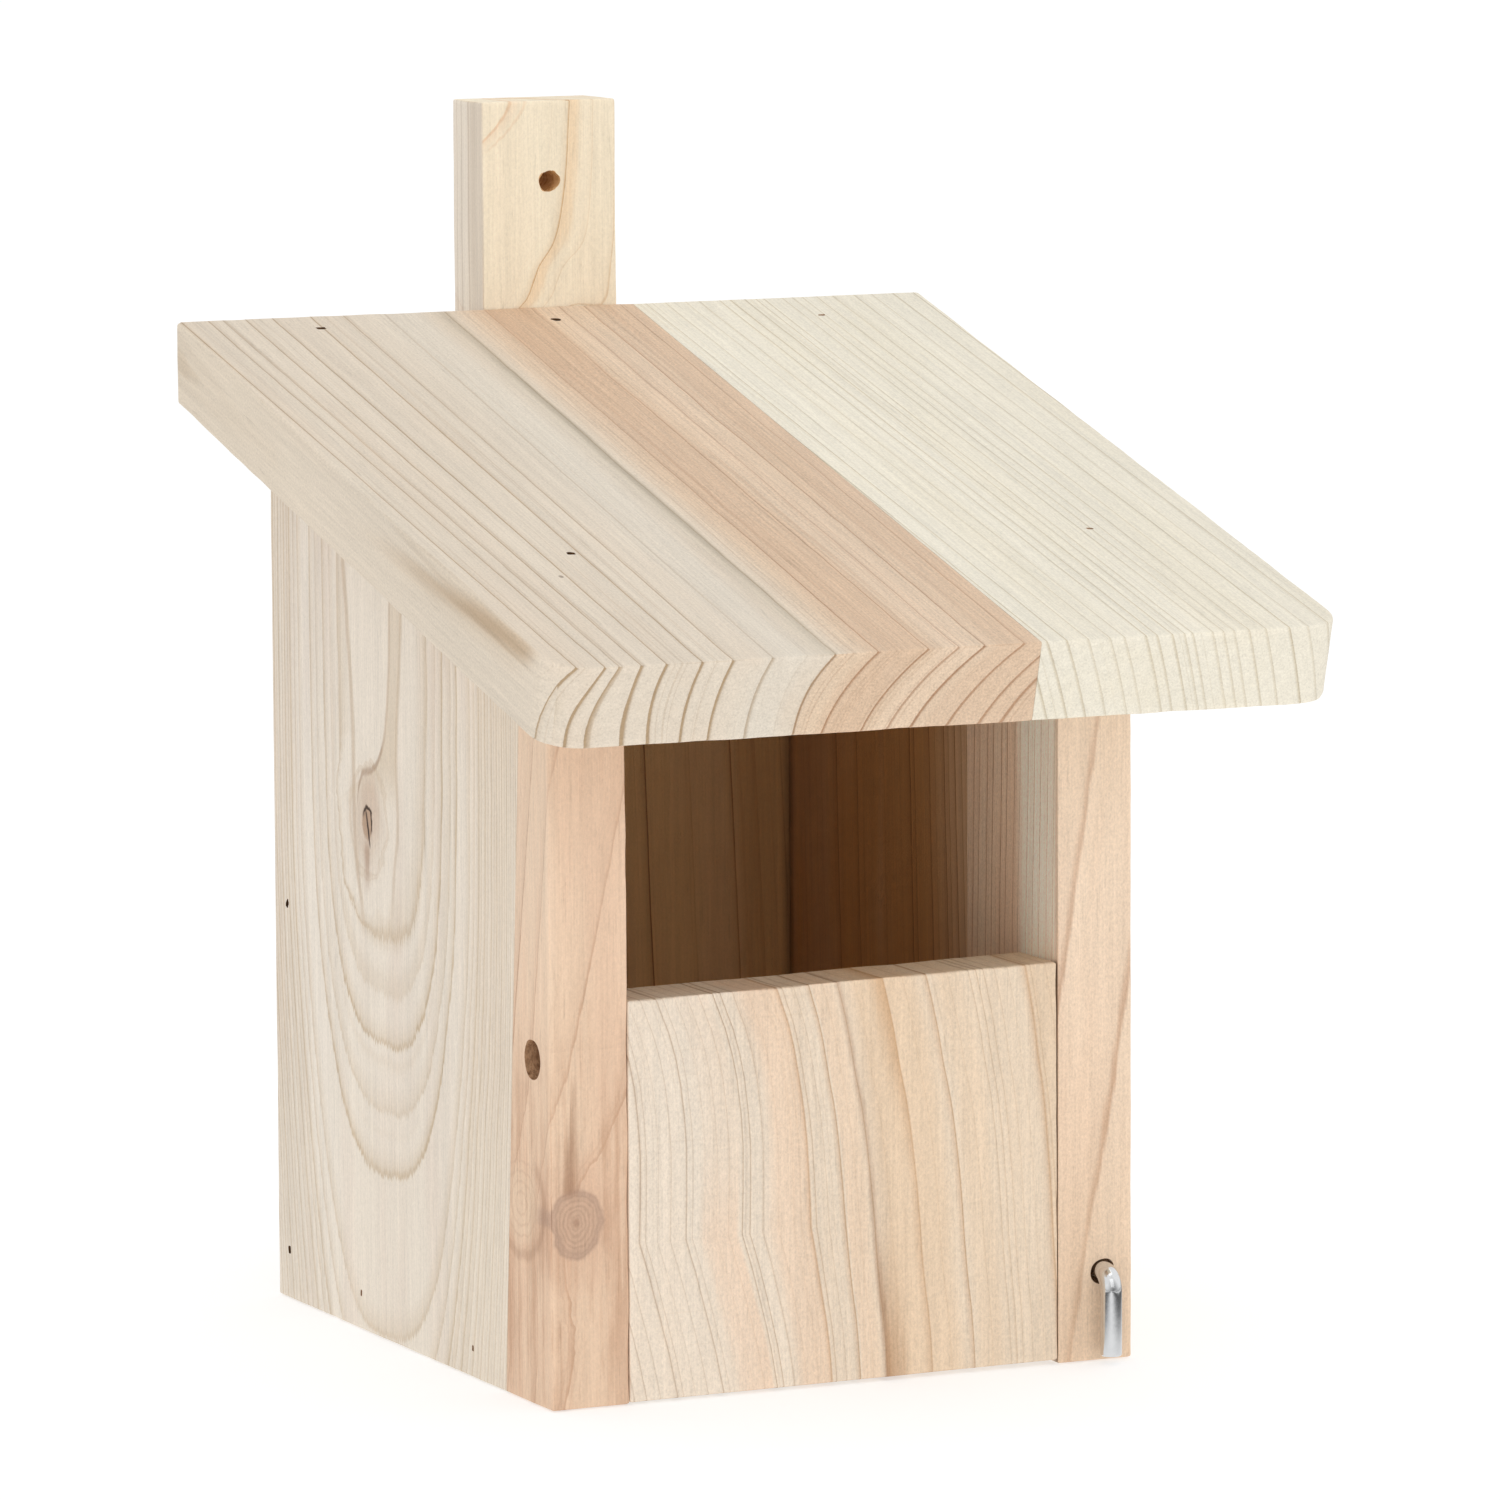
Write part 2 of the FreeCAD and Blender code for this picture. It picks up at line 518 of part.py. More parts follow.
# ------------------------------------------------------------------ checks and export
bad = [o.Name for o in doc.Objects if "Invalid" in o.State or "Error" in o.State]
if bad:
    raise RuntimeError("objects that failed: " + ", ".join(bad))
for name, obj in sorted(nodes.items()):
    obj.Label = name
    if obj.Label != name:
        raise RuntimeError("label taken: " + name)
    shape = obj.Shape
    if shape.isNull() or not shape.isValid() or not shape.Solids:
        raise RuntimeError("bad shape: " + name)
    print("%-24s solids %d  volume %10.1f  x %.2f %.2f  y %.2f %.2f  z %.2f %.2f" % (
        name, len(shape.Solids), shape.Volume, shape.BoundBox.XMin, shape.BoundBox.XMax,
        shape.BoundBox.YMin, shape.BoundBox.YMax, shape.BoundBox.ZMin, shape.BoundBox.ZMax))

os.makedirs("parts", exist_ok=True)
for name, obj in sorted(nodes.items()):
    obj.Shape.exportStep(os.path.join("parts", name + ".step"))
print("wrote %d nodes" % len(nodes))
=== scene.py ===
"""Looks of the bird nest box: planed softwood staves, zinc hook and screws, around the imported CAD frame.

Lengths in this script are millimetres in the row frame until a mesh is made, which is in metres.
"""
import math

import bmesh
import bpy
import numpy as np
from mathutils import Matrix, Vector


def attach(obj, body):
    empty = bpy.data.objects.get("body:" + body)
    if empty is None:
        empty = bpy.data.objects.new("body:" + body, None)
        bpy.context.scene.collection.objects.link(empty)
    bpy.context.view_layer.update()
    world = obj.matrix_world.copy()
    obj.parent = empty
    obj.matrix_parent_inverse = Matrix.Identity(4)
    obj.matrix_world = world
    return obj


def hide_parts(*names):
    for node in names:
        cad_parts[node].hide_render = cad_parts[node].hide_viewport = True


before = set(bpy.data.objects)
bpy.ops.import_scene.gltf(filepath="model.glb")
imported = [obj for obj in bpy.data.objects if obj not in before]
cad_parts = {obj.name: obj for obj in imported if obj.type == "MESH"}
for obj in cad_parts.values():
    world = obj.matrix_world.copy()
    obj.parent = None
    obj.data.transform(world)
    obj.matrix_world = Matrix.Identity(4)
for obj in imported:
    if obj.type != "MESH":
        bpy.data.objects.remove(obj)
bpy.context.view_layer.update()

MM = 0.001

# ------------------------------------------------------------------ the box's measures, as in the CAD
XC = -1.0                       # body centre
YF = -63.55                     # front face of the body
YB = 103.45                     # rear face of the body
SLOPE = math.radians(15.4)
SA, CA, TA = math.sin(SLOPE), math.cos(SLOPE), math.tan(SLOPE)
ROOF_T = 19.3
ROOF_Y, ROOF_Z = -116.62, 160.38        # lower front arris of the roof
ROOF_LOW = (YB - ROOF_Y) / CA           # length of the underside
ROOF_TOP = (YB - ROOF_Y + ROOF_T * SA) / CA
GLUE_X = 21.0
XL0, XL1 = -76.0, -56.5         # left side panel
XR0, XR1 = 54.5, 74.0           # right side panel
PIVOT_Y, PIVOT_Z = -53.55, 80.5
HOOK_X, HOOK_Z = 66.2, 21.2


def top_z(y):
    """Height of the roof's underside above the body, where y is in the row frame."""
    return 175.0 + (y - YF) * TA


# ------------------------------------------------------------------ seeded waves for small unevenness
class Waves:
    """A smooth seeded field of a few sine waves, about -1 to 1."""

    def __init__(self, seed, wavelength, count=14, stretch=(1.0, 1.0, 1.0)):
        rng = np.random.default_rng(seed)
        d = rng.normal(size=(count, 3))
        d /= np.linalg.norm(d, axis=1)[:, None]
        self.k = d * (2 * math.pi / (wavelength * rng.uniform(0.6, 1.7, count)))[:, None] / np.array(stretch)
        self.p = rng.uniform(0, 2 * math.pi, count)
        self.s = 1.6 / math.sqrt(count)

    def __call__(self, pts):
        return np.sin(pts @ self.k.T + self.p).sum(1) * self.s


def line_noise(seed, s, wavelength):
    """Seeded 1-D noise along s, about -1 to 1."""
    return Waves(seed, wavelength, 18)(np.stack([s, 0 * s + 3.3, 0 * s - 1.7], 1))


# ------------------------------------------------------------------ boards
def axis_lines(length, r0, r1, step, fine=()):
    """Grid positions along one side of a board, close together near both arrises."""
    near0 = [0.0, 0.22 * r0, 0.55 * r0, 1.05 * r0, 2.0 * r0]
    near1 = [length - x for x in (0.0, 0.22 * r1, 0.55 * r1, 1.05 * r1, 2.0 * r1)]
    a, b = near0[-1], near1[-1]
    n = max(1, int(round((b - a) / step)))
    pts = set(near0 + near1 + list(np.linspace(a, b, n + 1)))
    for lo, hi, st in fine:
        pts |= set(np.arange(lo, hi + 1e-6, st))
    pts = sorted(p for p in pts if -1e-9 <= p <= length + 1e-9)
    keep = [pts[0]]
    for p in pts[1:]:
        if p - keep[-1] > 0.02:
            keep.append(p)
    keep[-1] = length
    return np.array(keep)


EDGES = [(ax, s, t) for ax in (0, 1, 2) for s in (0, 1) for t in (0, 1)]


def board(name, corners, size, radii, seed, step=2.0, thick_step=3.0, fine=((), (), ()), corner_round=(),
          ragged=None, wave=0.05, grain=2):
    """A solid board as a gridded mesh: a box of the given size, its arrises eased one by one, mapped to eight corners.

    corners[i][j][k] is the point at the low or high end of the three sides.
    radii maps (axis, side, side) to the arris radius, with None for the rest. ragged maps the same keys to how uneven that arris is.
    corner_round lists (axis, side, side, radius) of large rounded corners.
    """
    ragged = ragged or {}
    rad = {e: radii.get(e, radii[None]) for e in EDGES}
    size = np.array(size, float)
    thin = int(np.argmin(size))
    lines = []
    for ax in range(3):
        r0 = max(rad[e] for e in EDGES if (e[0] != ax and e[1 + [b for b in range(3) if b != e[0]].index(ax)] == 0))
        r1 = max(rad[e] for e in EDGES if (e[0] != ax and e[1 + [b for b in range(3) if b != e[0]].index(ax)] == 1))
        lines.append(axis_lines(size[ax], r0, r1, thick_step if ax == thin else step, fine[ax]))
    nx, ny, nz = (len(q) for q in lines)
    on = np.zeros((nx, ny, nz), bool)
    on[[0, -1]] = True
    on[:, [0, -1]] = True
    on[:, :, [0, -1]] = True
    idx = -np.ones((nx, ny, nz), int)
    idx[on] = np.arange(on.sum())
    gi, gj, gk = np.nonzero(on)
    p = np.stack([lines[0][gi], lines[1][gj], lines[2][gk]], 1)
    raw = p.copy()

    # easing of each arris: the square corner region is drawn onto a quarter circle
    def ease(ax, s, t, r):
        b, c = [q for q in range(3) if q != ax]
        db = p[:, b] if s == 0 else size[b] - p[:, b]
        dc = p[:, c] if t == 0 else size[c] - p[:, c]
        r = np.broadcast_to(r, db.shape)
        m = (db < r) & (dc < r)
        eb, ec = (r - db)[m], (r - dc)[m]
        h = np.hypot(eb, ec)
        k = np.maximum(eb, ec) / np.maximum(h, 1e-12)
        nb, nc = r[m] - eb * k, r[m] - ec * k
        p[m, b] = nb if s == 0 else size[b] - nb
        p[m, c] = nc if t == 0 else size[c] - nc

    for n, (ax, s, t) in enumerate(EDGES):
        r = rad[(ax, s, t)]
        if r <= 0:
            continue
        amount = ragged.get((ax, s, t), 0.1)
        along = raw[:, ax]
        rr = r * (1 + amount * line_noise(seed * 31 + n, along, 18.0) + 0.5 * amount * line_noise(seed * 57 + n, along, 8.0))
        ease(ax, s, t, np.clip(rr, 0.25 * r, 2.0 * r))
    for ax, s, t, r in corner_round:
        ease(ax, s, t, r)

    # a little planing unevenness on the broad faces, none at the ends of the grid lines
    out = np.zeros_like(p)
    for ax in range(3):
        lo, hi = raw[:, ax] < 1e-6, raw[:, ax] > size[ax] - 1e-6
        out[lo, ax] -= 1
        out[hi, ax] += 1
    field = Waves(seed, 46.0)(raw) * wave + Waves(seed + 7, 13.0)(raw) * wave * 0.35
    inside = np.minimum(np.min(np.where(raw < 1e-6, 1e9, raw), 1), np.min(np.where(size - raw < 1e-6, 1e9, size - raw), 1))
    p -= out * (np.abs(field) * np.clip(inside / 6.0, 0, 1))[:, None]

    c = np.array(corners, float)
    u = p / size
    w = np.zeros((len(p), 3))
    for i in (0, 1):
        for j in (0, 1):
            for k in (0, 1):
                f = (u[:, 0] if i else 1 - u[:, 0]) * (u[:, 1] if j else 1 - u[:, 1]) * (u[:, 2] if k else 1 - u[:, 2])
                w += f[:, None] * c[i][j][k]

    def quads(a, flip):
        q = np.stack([a[:-1, :-1], a[:-1, 1:], a[1:, 1:], a[1:, :-1]], -1).reshape(-1, 4)
        return q[:, ::-1] if flip else q

    faces = np.concatenate([quads(idx[0], False).reshape(-1, 4), quads(idx[-1], True),
                            quads(idx[:, 0], True), quads(idx[:, -1], False),
                            quads(idx[:, :, 0], False), quads(idx[:, :, -1], True)])
    me = bpy.data.meshes.new(name)
    me.from_pydata((w * MM).tolist(), [], faces.tolist())
    end = ((raw[:, grain] < 1e-6) | (raw[:, grain] > size[grain] - 1e-6)).astype(np.float32)
    rim = np.zeros(len(p))
    for ax, s, t in EDGES:
        b, d = [q for q in range(3) if q != ax]
        db = raw[:, b] if s == 0 else size[b] - raw[:, b]
        dd = raw[:, d] if t == 0 else size[d] - raw[:, d]
        if rad[(ax, s, t)] > 0.3:
            rim = np.maximum(rim, 1 - np.clip(np.maximum(db, dd) / 1.6, 0, 1))
    for key, val in (("end_grain", end), ("arris", rim.astype(np.float32))):
        me.attributes.new(key, "FLOAT", "POINT").data.foreach_set("value", val)
    obj = bpy.data.objects.new(name, me)
    bpy.context.scene.collection.objects.link(obj)
    bm = bmesh.new()
    bm.from_mesh(me)
    bmesh.ops.recalc_face_normals(bm, faces=bm.faces)
    bm.to_mesh(me)
    bm.free()
    return obj


def prism(outline, origin, u, v, n, lo, hi, flare=0.0):
    """Vertices and faces of a closed prism: outline points (a, b) along u and v, from lo to hi along n."""
    o, u, v, n = (np.array(q, float) for q in (origin, u, v, n))
    k = len(outline)
    low = [o + a * u + b * v + lo * n for a, b in outline]
    high = [o + a * (1 + flare) * u + b * (1 + flare) * v + hi * n for a, b in outline]
    faces = [list(range(k))[::-1], list(range(k, 2 * k))]
    faces += [[i, (i + 1) % k, k + (i + 1) % k, k + i] for i in range(k)]
    return low + high, faces


def round_outline(rx, ry, seed=0, rough=0.0, count=28, square=2.0):
    """A closed outline, an ellipse or with a higher power a rounded rectangle, slightly uneven."""
    t = np.linspace(0, 2 * math.pi, count, endpoint=False)
    c, s = np.cos(t), np.sin(t)
    f = (np.abs(c) ** square + np.abs(s) ** square) ** (-1.0 / square)
    w = 1 + rough * (Waves(seed + 1, 1.3)(np.stack([c, s, 0 * s], 1)))
    return np.stack([rx * c * f * w, ry * s * f * w], 1)


def mesh_object(name, parts):
    """One object from several (vertices in mm, faces) parts."""
    vs, fs = [], []
    for v, f in parts:
        k = len(vs)
        vs += [tuple(np.array(q, float) * MM) for q in v]
        fs += [[i + k for i in face] for face in f]
    me = bpy.data.meshes.new(name)
    me.from_pydata(vs, [], fs)
    obj = bpy.data.objects.new(name, me)
    bpy.context.scene.collection.objects.link(obj)
    bm = bmesh.new()
    bm.from_mesh(me)
    bmesh.ops.recalc_face_normals(bm, faces=bm.faces)
    bm.to_mesh(me)
    bm.free()
    return obj


def carve(obj, parts):
    """Cuts closed parts out of obj, exactly. Parts of one call stay clear of each other."""
    cutter = mesh_object(obj.name + ".cut", parts)
    mod = obj.modifiers.new("cut", "BOOLEAN")
    mod.operation, mod.solver, mod.object, mod.use_self = "DIFFERENCE", "EXACT", cutter, False
    dg = bpy.context.evaluated_depsgraph_get()
    made = bpy.data.meshes.new_from_object(obj.evaluated_get(dg))
    obj.modifiers.clear()
    old = obj.data
    obj.data = made
    made.name = obj.name
    bpy.data.meshes.remove(old)
    bpy.data.objects.remove(cutter)


def shade(obj, angle=38.0, weighted=True):
    obj.data.polygons.foreach_set("use_smooth", np.ones(len(obj.data.polygons), bool))
    obj.data.set_sharp_from_angle(angle=math.radians(angle))
    if weighted:
        mod = obj.modifiers.new("normals", "WEIGHTED_NORMAL")
        mod.keep_sharp, mod.weight = True, 60
        dg = bpy.context.evaluated_depsgraph_get()
        made = bpy.data.meshes.new_from_object(obj.evaluated_get(dg), preserve_all_data_layers=True, depsgraph=dg)
        obj.modifiers.clear()
        old = obj.data
        obj.data = made
        made.name = obj.name
        bpy.data.meshes.remove(old)


# ------------------------------------------------------------------ node writing
class V:
    """A socket that can be used in sums and products."""

    def __init__(self, tree, sock):
        self.t, self.s = tree, sock

    def __add__(self, o): return self.t.m("ADD", self, o)
    __radd__ = __add__
    def __sub__(self, o): return self.t.m("SUBTRACT", self, o)
    def __rsub__(self, o): return self.t.m("SUBTRACT", o, self)
    def __mul__(self, o): return self.t.m("MULTIPLY", self, o)
    __rmul__ = __mul__
    def __truediv__(self, o): return self.t.m("DIVIDE", self, o)
    def __neg__(self): return self.t.m("MULTIPLY", self, -1.0)
    def __abs__(self): return self.t.m("ABSOLUTE", self)


def lin(rgb):
    """An 8-bit colour as a linear RGBA."""
    f = [c / 255.0 for c in rgb]
    return tuple(c / 12.92 if c <= 0.04045 else ((c + 0.055) / 1.055) ** 2.4 for c in f) + (1.0,)


class Tree:
    def __init__(self, name):
        self.mat = bpy.data.materials.new(name)
        self.mat.use_nodes = True
        self.nt = self.mat.node_tree
        self.nt.nodes.clear()
        self.out = self.new("ShaderNodeOutputMaterial")
        self.bsdf = self.new("ShaderNodeBsdfPrincipled")
        self.nt.links.new(self.bsdf.outputs[0], self.out.inputs[0])

    def new(self, kind):
        return self.nt.nodes.new(kind)

    def plug(self, sock, v):
        if isinstance(v, V):
            v = v.s
        if isinstance(v, bpy.types.NodeSocket):
            self.nt.links.new(v, sock)
        else:
            sock.default_value = v

    def m(self, op, *args):
        n = self.new("ShaderNodeMath")
        n.operation = op
        for i, a in enumerate(args):
            self.plug(n.inputs[i], a)
        return V(self, n.outputs[0])

    def place(self):
        """Object coordinates in millimetres."""
        c = self.new("ShaderNodeTexCoord")
        n = self.new("ShaderNodeVectorMath")
        n.operation = "SCALE"
        self.nt.links.new(c.outputs["Object"], n.inputs[0])
        n.inputs["Scale"].default_value = 1000.0
        return n.outputs[0]

    def dot(self, vec, direction, origin=(0, 0, 0)):
        n = self.new("ShaderNodeVectorMath")
        n.operation = "DOT_PRODUCT"
        self.plug(n.inputs[0], vec)
        n.inputs[1].default_value = tuple(direction)
        off = -float(np.dot(direction, origin))
        v = V(self, n.outputs["Value"])
        return v + off if abs(off) > 1e-9 else v

    def vec(self, x, y, z):
        n = self.new("ShaderNodeCombineXYZ")
        for i, q in enumerate((x, y, z)):
            self.plug(n.inputs[i], q)
        return n.outputs[0]

    def noise(self, x, y, z, detail=2.0, rough=0.5):
        """Smooth noise, about -0.5 to 0.5."""
        n = self.new("ShaderNodeTexNoise")
        n.noise_dimensions = "3D"
        self.plug(n.inputs["Vector"], self.vec(x, y, z))
        n.inputs["Scale"].default_value = 1.0
        n.inputs["Detail"].default_value = detail
        n.inputs["Roughness"].default_value = rough
        return V(self, n.outputs[0]) - 0.5

    def chance(self, w):
        n = self.new("ShaderNodeTexWhiteNoise")
        n.noise_dimensions = "1D"
        self.plug(n.inputs["W"], w)
        return V(self, n.outputs["Value"])

    def step(self, lo, hi, v):
        """0 below lo, 1 above hi, smooth between; lo may be above hi."""
        n = self.new("ShaderNodeMapRange")
        n.interpolation_type = "SMOOTHSTEP"
        self.plug(n.inputs["Value"], v)
        a, b, c, d = (lo, hi, 0.0, 1.0) if lo < hi else (hi, lo, 1.0, 0.0)
        for k, q in zip(("From Min", "From Max", "To Min", "To Max"), (a, b, c, d)):
            n.inputs[k].default_value = q
        return V(self, n.outputs[0])

    def curve(self, v, pts, lo, hi, vlo, vhi, kind="VECTOR"):
        """Looks v up on a curve through pts, where pts run from lo to hi and give vlo to vhi."""
        n = self.new("ShaderNodeFloatCurve")
        self.plug(n.inputs["Value"], (v - lo) / (hi - lo))
        c = n.mapping.curves[0]
        norm = [((x - lo) / (hi - lo), (y - vlo) / (vhi - vlo)) for x, y in pts]
        while len(c.points) < len(norm):
            c.points.new(0.5, 0.5)
        for q, (x, y) in zip(c.points, norm):
            q.location = (x, y)
            q.handle_type = kind
        n.mapping.update()
        return V(self, n.outputs[0]) * (vhi - vlo) + vlo

    def mix(self, f, a, b, kind="MIX"):
        n = self.new("ShaderNodeMix")
        n.data_type, n.blend_type = "RGBA", kind
        self.plug(n.inputs[0], f)
        self.plug(n.inputs[6], a)
        self.plug(n.inputs[7], b)
        return n.outputs[2]

    def lit(self, colour, f):
        """colour times f."""
        n = self.new("ShaderNodeVectorMath")
        n.operation = "SCALE"
        self.plug(n.inputs[0], colour)
        self.plug(n.inputs["Scale"], f)
        return n.outputs[0]

    def attr(self, name):
        n = self.new("ShaderNodeAttribute")
        n.attribute_name = name
        return V(self, n.outputs["Fac"])


def ring_table(radii, lo, hi):
    """Radii of the growth rings from lo to hi: the given ones, carried on with their own mean spacing at both ends."""
    r = sorted(radii)
    d0 = (r[min(3, len(r) - 1)] - r[0]) / max(1, min(3, len(r) - 1))
    d1 = (r[-1] - r[max(0, len(r) - 4)]) / max(1, min(3, len(r) - 1))
    while r[0] > lo:
        r.insert(0, r[0] - d0)
    while r[-1] < hi:
        r.append(r[-1] + d1)
    return r


def wood(name, L, A, B, origin, radii, reach, sap, sap_late, pith=None, drift=(0.0, 0.0), radius=None, heart=None,
         heart_late=None, heart_mask=None, tint=None, tint_mix=0.3, seed=0.0, wobble=0.6, wobble_len=90.0, fibre=0.12, line=0.34,
         tail=1.3, line_mix=0.75, tail_mix=0.22, faint=0.25, streak=0.22, cloud=0.06, warp=None, paint=None, rough=0.62,
         bump=0.4, end_dark=0.0, weights=None, fibre_f=0.8, lip=0.14, end_lines=1.0,
         grits=1.25, heart_grits=0.0):
    """Softwood of one stave. Growth rings are surfaces of one radius about a pith that runs along L with a little drift,
    so the lines on the faces and on the end grain are one and the same. A and B are the directions across the grain.

    radius(tree, q) gives the radius where the rings aren't round about a pith. warp(tree, q) returns a change of radius
    and paint(tree, q, colour) a changed colour, for knots and streaks. weights says how strong each given ring is.
    """
    t = Tree(name)
    P = t.place()
    l, a, b = (t.dot(P, d, origin) for d in (L, A, B))
    q = {"P": P, "l": l, "a": a, "b": b, "seed": seed}
    if radius:
        r0 = radius(t, q)
    else:
        da = a - (l * drift[0] + pith[0])
        db = b - (l * drift[1] + pith[1])
        r0 = t.m("SQRT", da * da + db * db)
    # slow wander of all rings together, then fibres that make an edge feathery where a face cuts the rings at a low angle
    wander = t.noise(a * (1 / 34.0) + seed, b * (1 / 34.0) + 3.1, l * (1 / wobble_len), 1.0)
    fine = t.noise(a * fibre_f + seed, b * fibre_f + 7.7, l * 0.02, 3.0, 0.65)
    r = r0 + wander * (2.6 * wobble) + fine * (2.4 * fibre)
    if warp:
        r = r + warp(t, q)
    q["r"] = r
    lo, hi = reach
    table = ring_table(radii, lo, hi)
    n = len(table) - 1
    phase = t.curve(r, [(x, float(i)) for i, x in enumerate(table)], table[0], table[-1], 0.0, float(n))
    widths = [(0.5 * (table[i] + table[i + 1]), table[i + 1] - table[i]) for i in range(n)]
    wmax = max(w for _, w in widths) * 1.05
    width = t.curve(r, [(table[0], widths[0][1])] + widths + [(table[-1], widths[-1][1])], table[0], table[-1], 0.0, wmax)
    f = t.m("FRACT", phase)
    ring_id = t.m("FLOOR", phase)
    before, after = (1.0 - f) * width, f * width
    if "spread" in q:
        before, after = before / q["spread"], after / q["spread"]
    if weights:
        known = dict(zip(radii, weights))
        power = t.curve(r, [(x, known.get(x, 0.5)) for x in table], table[0], table[-1], 0.0, 1.6)
    else:
        power = t.chance(ring_id + (seed + 0.37)) * 0.55 + 0.6
    # on sawn ends the hard late wood stands out, thicker and darker than on the faces
    ends = t.attr("end_grain")
    q["ends"] = ends
    sharp = t.m("MAXIMUM", t.step(line, 0.02, before * (1.0 - ends * 0.58)), t.step(lip, 0.0, after))
    soft = t.step(tail, 0.0, before)
    breaks = t.noise(a * 0.05 + seed, b * 0.05, l * 0.012, 2.0) * 0.9 + 0.95
    late = (sharp * line_mix + soft * tail_mix) * power * breaks * (ends * (0.5 * end_lines) + 1.0)
    # fainter lines between the rings
    hair = t.noise(r * 0.9 + seed * 3, seed, l * 0.0022, 2.0, 0.6)
    late = late + t.step(0.06, 0.2, hair) * faint
    late = t.m("MINIMUM", late, 1.0)
    q["late"] = late
    base, dark = lin(sap), lin(sap_late)
    if heart is not None:
        hm = heart_mask(t, q)
        q["heart"] = hm
        base = t.mix(hm, lin(sap), lin(heart))
        dark = t.mix(hm, lin(sap_late), lin(heart_late))
    if tint is not None:
        drifts = t.noise(a * 0.06 + seed, b * 0.06 + 2.0, l * 0.009, 2.0, 0.6)
        base = t.mix(t.step(-0.08, 0.2, drifts) * tint_mix, base, lin(tint))
    colour = t.mix(late, base, dark)
    if paint:
        colour = paint(t, q, colour)
    # fibres: long pale and dark streaks, short dark dashes, and the grit of a planed face
    fib = t.noise(a * 1.7 + seed, b * 1.7, l * 0.045, 3.0, 0.7)
    fib2 = t.noise(a * 0.45 + seed, b * 0.45, l * 0.008, 2.0)
    slow = t.noise(a * 0.02 + seed, b * 0.02, l * 0.011, 1.0)
    grit = t.noise(a * 1.9, b * 1.9 + seed, l * 1.3, 2.0, 0.7)
    dash = t.step(0.13, 0.25, t.noise(a * 1.1 + 9.0, b * 1.1 + seed, l * 0.085, 2.0, 0.6))
    rough_by = q["heart"] * heart_grits + 1.0 if heart_grits else 1.0
    tone = (fib * (1.5 * streak) + grit * (grits * streak)) * rough_by + fib2 * (0.9 * streak) + slow * (2.0 * cloud) - dash * (0.42 * streak) + 1.01
    if end_dark:
        tone = tone - ends * end_dark
    # painted highlight and wear: the eased arrises 5 % lighter
    tone = tone + t.attr("arris") * 0.05
    colour = t.lit(colour, tone)
    t.plug(t.bsdf.inputs["Base Color"], colour)
    t.bsdf.inputs["Specular IOR Level"].default_value = 0.28
    t.plug(t.bsdf.inputs["Roughness"], late * -0.08 + fib * 0.16 + rough)
    bm = t.new("ShaderNodeBump")
    bm.inputs["Strength"].default_value = bump
    bm.inputs["Distance"].default_value = 0.0005
    t.plug(bm.inputs["Height"], fib * 0.8 + grit * 0.5 + late * (ends * 1.6 + 0.3) - dash * 0.25)
    t.nt.links.new(bm.outputs[0], t.bsdf.inputs["Normal"])
    return t.mat


def knot(t, q, centre, axis, along, stretch):
    """Distance from a knot's axis, in mm, with lengths along the grain divided by stretch."""
    k = np.array(axis, float) / np.linalg.norm(axis)
    g = np.array(along, float)
    c = np.cross(k, g)
    c /= np.linalg.norm(c)
    g = np.cross(c, k)
    dl, dc = t.dot(q["P"], g, centre), t.dot(q["P"], c, centre)
    wob = t.noise(dl * 0.16 + q["seed"], dc * 0.16, 1.7, 2.0) * 0.5
    return t.m("SQRT", dl * dl * (1.0 / stretch ** 2) + dc * dc) * (wob + 1.0), dl, dc


# ------------------------------------------------------------------ colours (8-bit, as they look under even white light)
CREAM = (226, 213, 195)
CREAM_LATE = (180, 154, 122)
PALE = (237, 230, 213)
PALE_LATE = (200, 185, 156)
PINK = (225, 200, 173)
PINK_LATE = (172, 131, 99)
YELLOW = (246, 233, 208)
YELLOW_LATE = (210, 172, 126)

X, Y, Z = (1, 0, 0), (0, 1, 0), (0, 0, 1)
UP_SLOPE = (0, CA, SA)
OUT_ROOF = (0, -SA, CA)
ROOF_O = (0, ROOF_Y, ROOF_Z)


# ------------------------------------------------------------------ roof
def roof_corners(x0, x1):
    def at(x, u, n):
        return (x, ROOF_Y + u * CA - n * SA, ROOF_Z + u * SA + n * CA)
    return [[[at(x, 0, 0), at(x, 0, ROOF_T)], [at(x, ROOF_LOW, 0), at(x, ROOF_TOP, ROOF_T)]] for x in (x0, x1)]


def nail_hole(x, y, z, axis, seed, deep=0.8, wide=1.15, tall=0.8):
    """The slot that a driven brad leaves, from 1 mm above the face to its head."""
    u, v = {"z": ((1, 0, 0), (0, 1, 0)), "x": ((0, 1, 0), (0, 0, 1)), "-x": ((0, 1, 0), (0, 0, 1))}[axis]
    n = {"z": (0, 0, 1), "x": (1, 0, 0), "-x": (-1, 0, 0)}[axis]
    return prism(round_outline(wide, tall, seed, 0.12, 20, 3.0), (x, y, z), u, v, n, -deep, 1.5)


ROOF_NAILS_REAR = [(-65.7, 94.75), (-3.5, 94.35), (66.6, 89.75)]
ROOF_NAILS_FRONT = [(-66.0, -55.05), (66.6, -56.55)]


def roof_top_z(y):
    """Height of the roof's upper face at y."""
    u = (y - ROOF_Y + ROOF_T * SA) / CA
    return ROOF_Z + u * SA + ROOF_T * CA


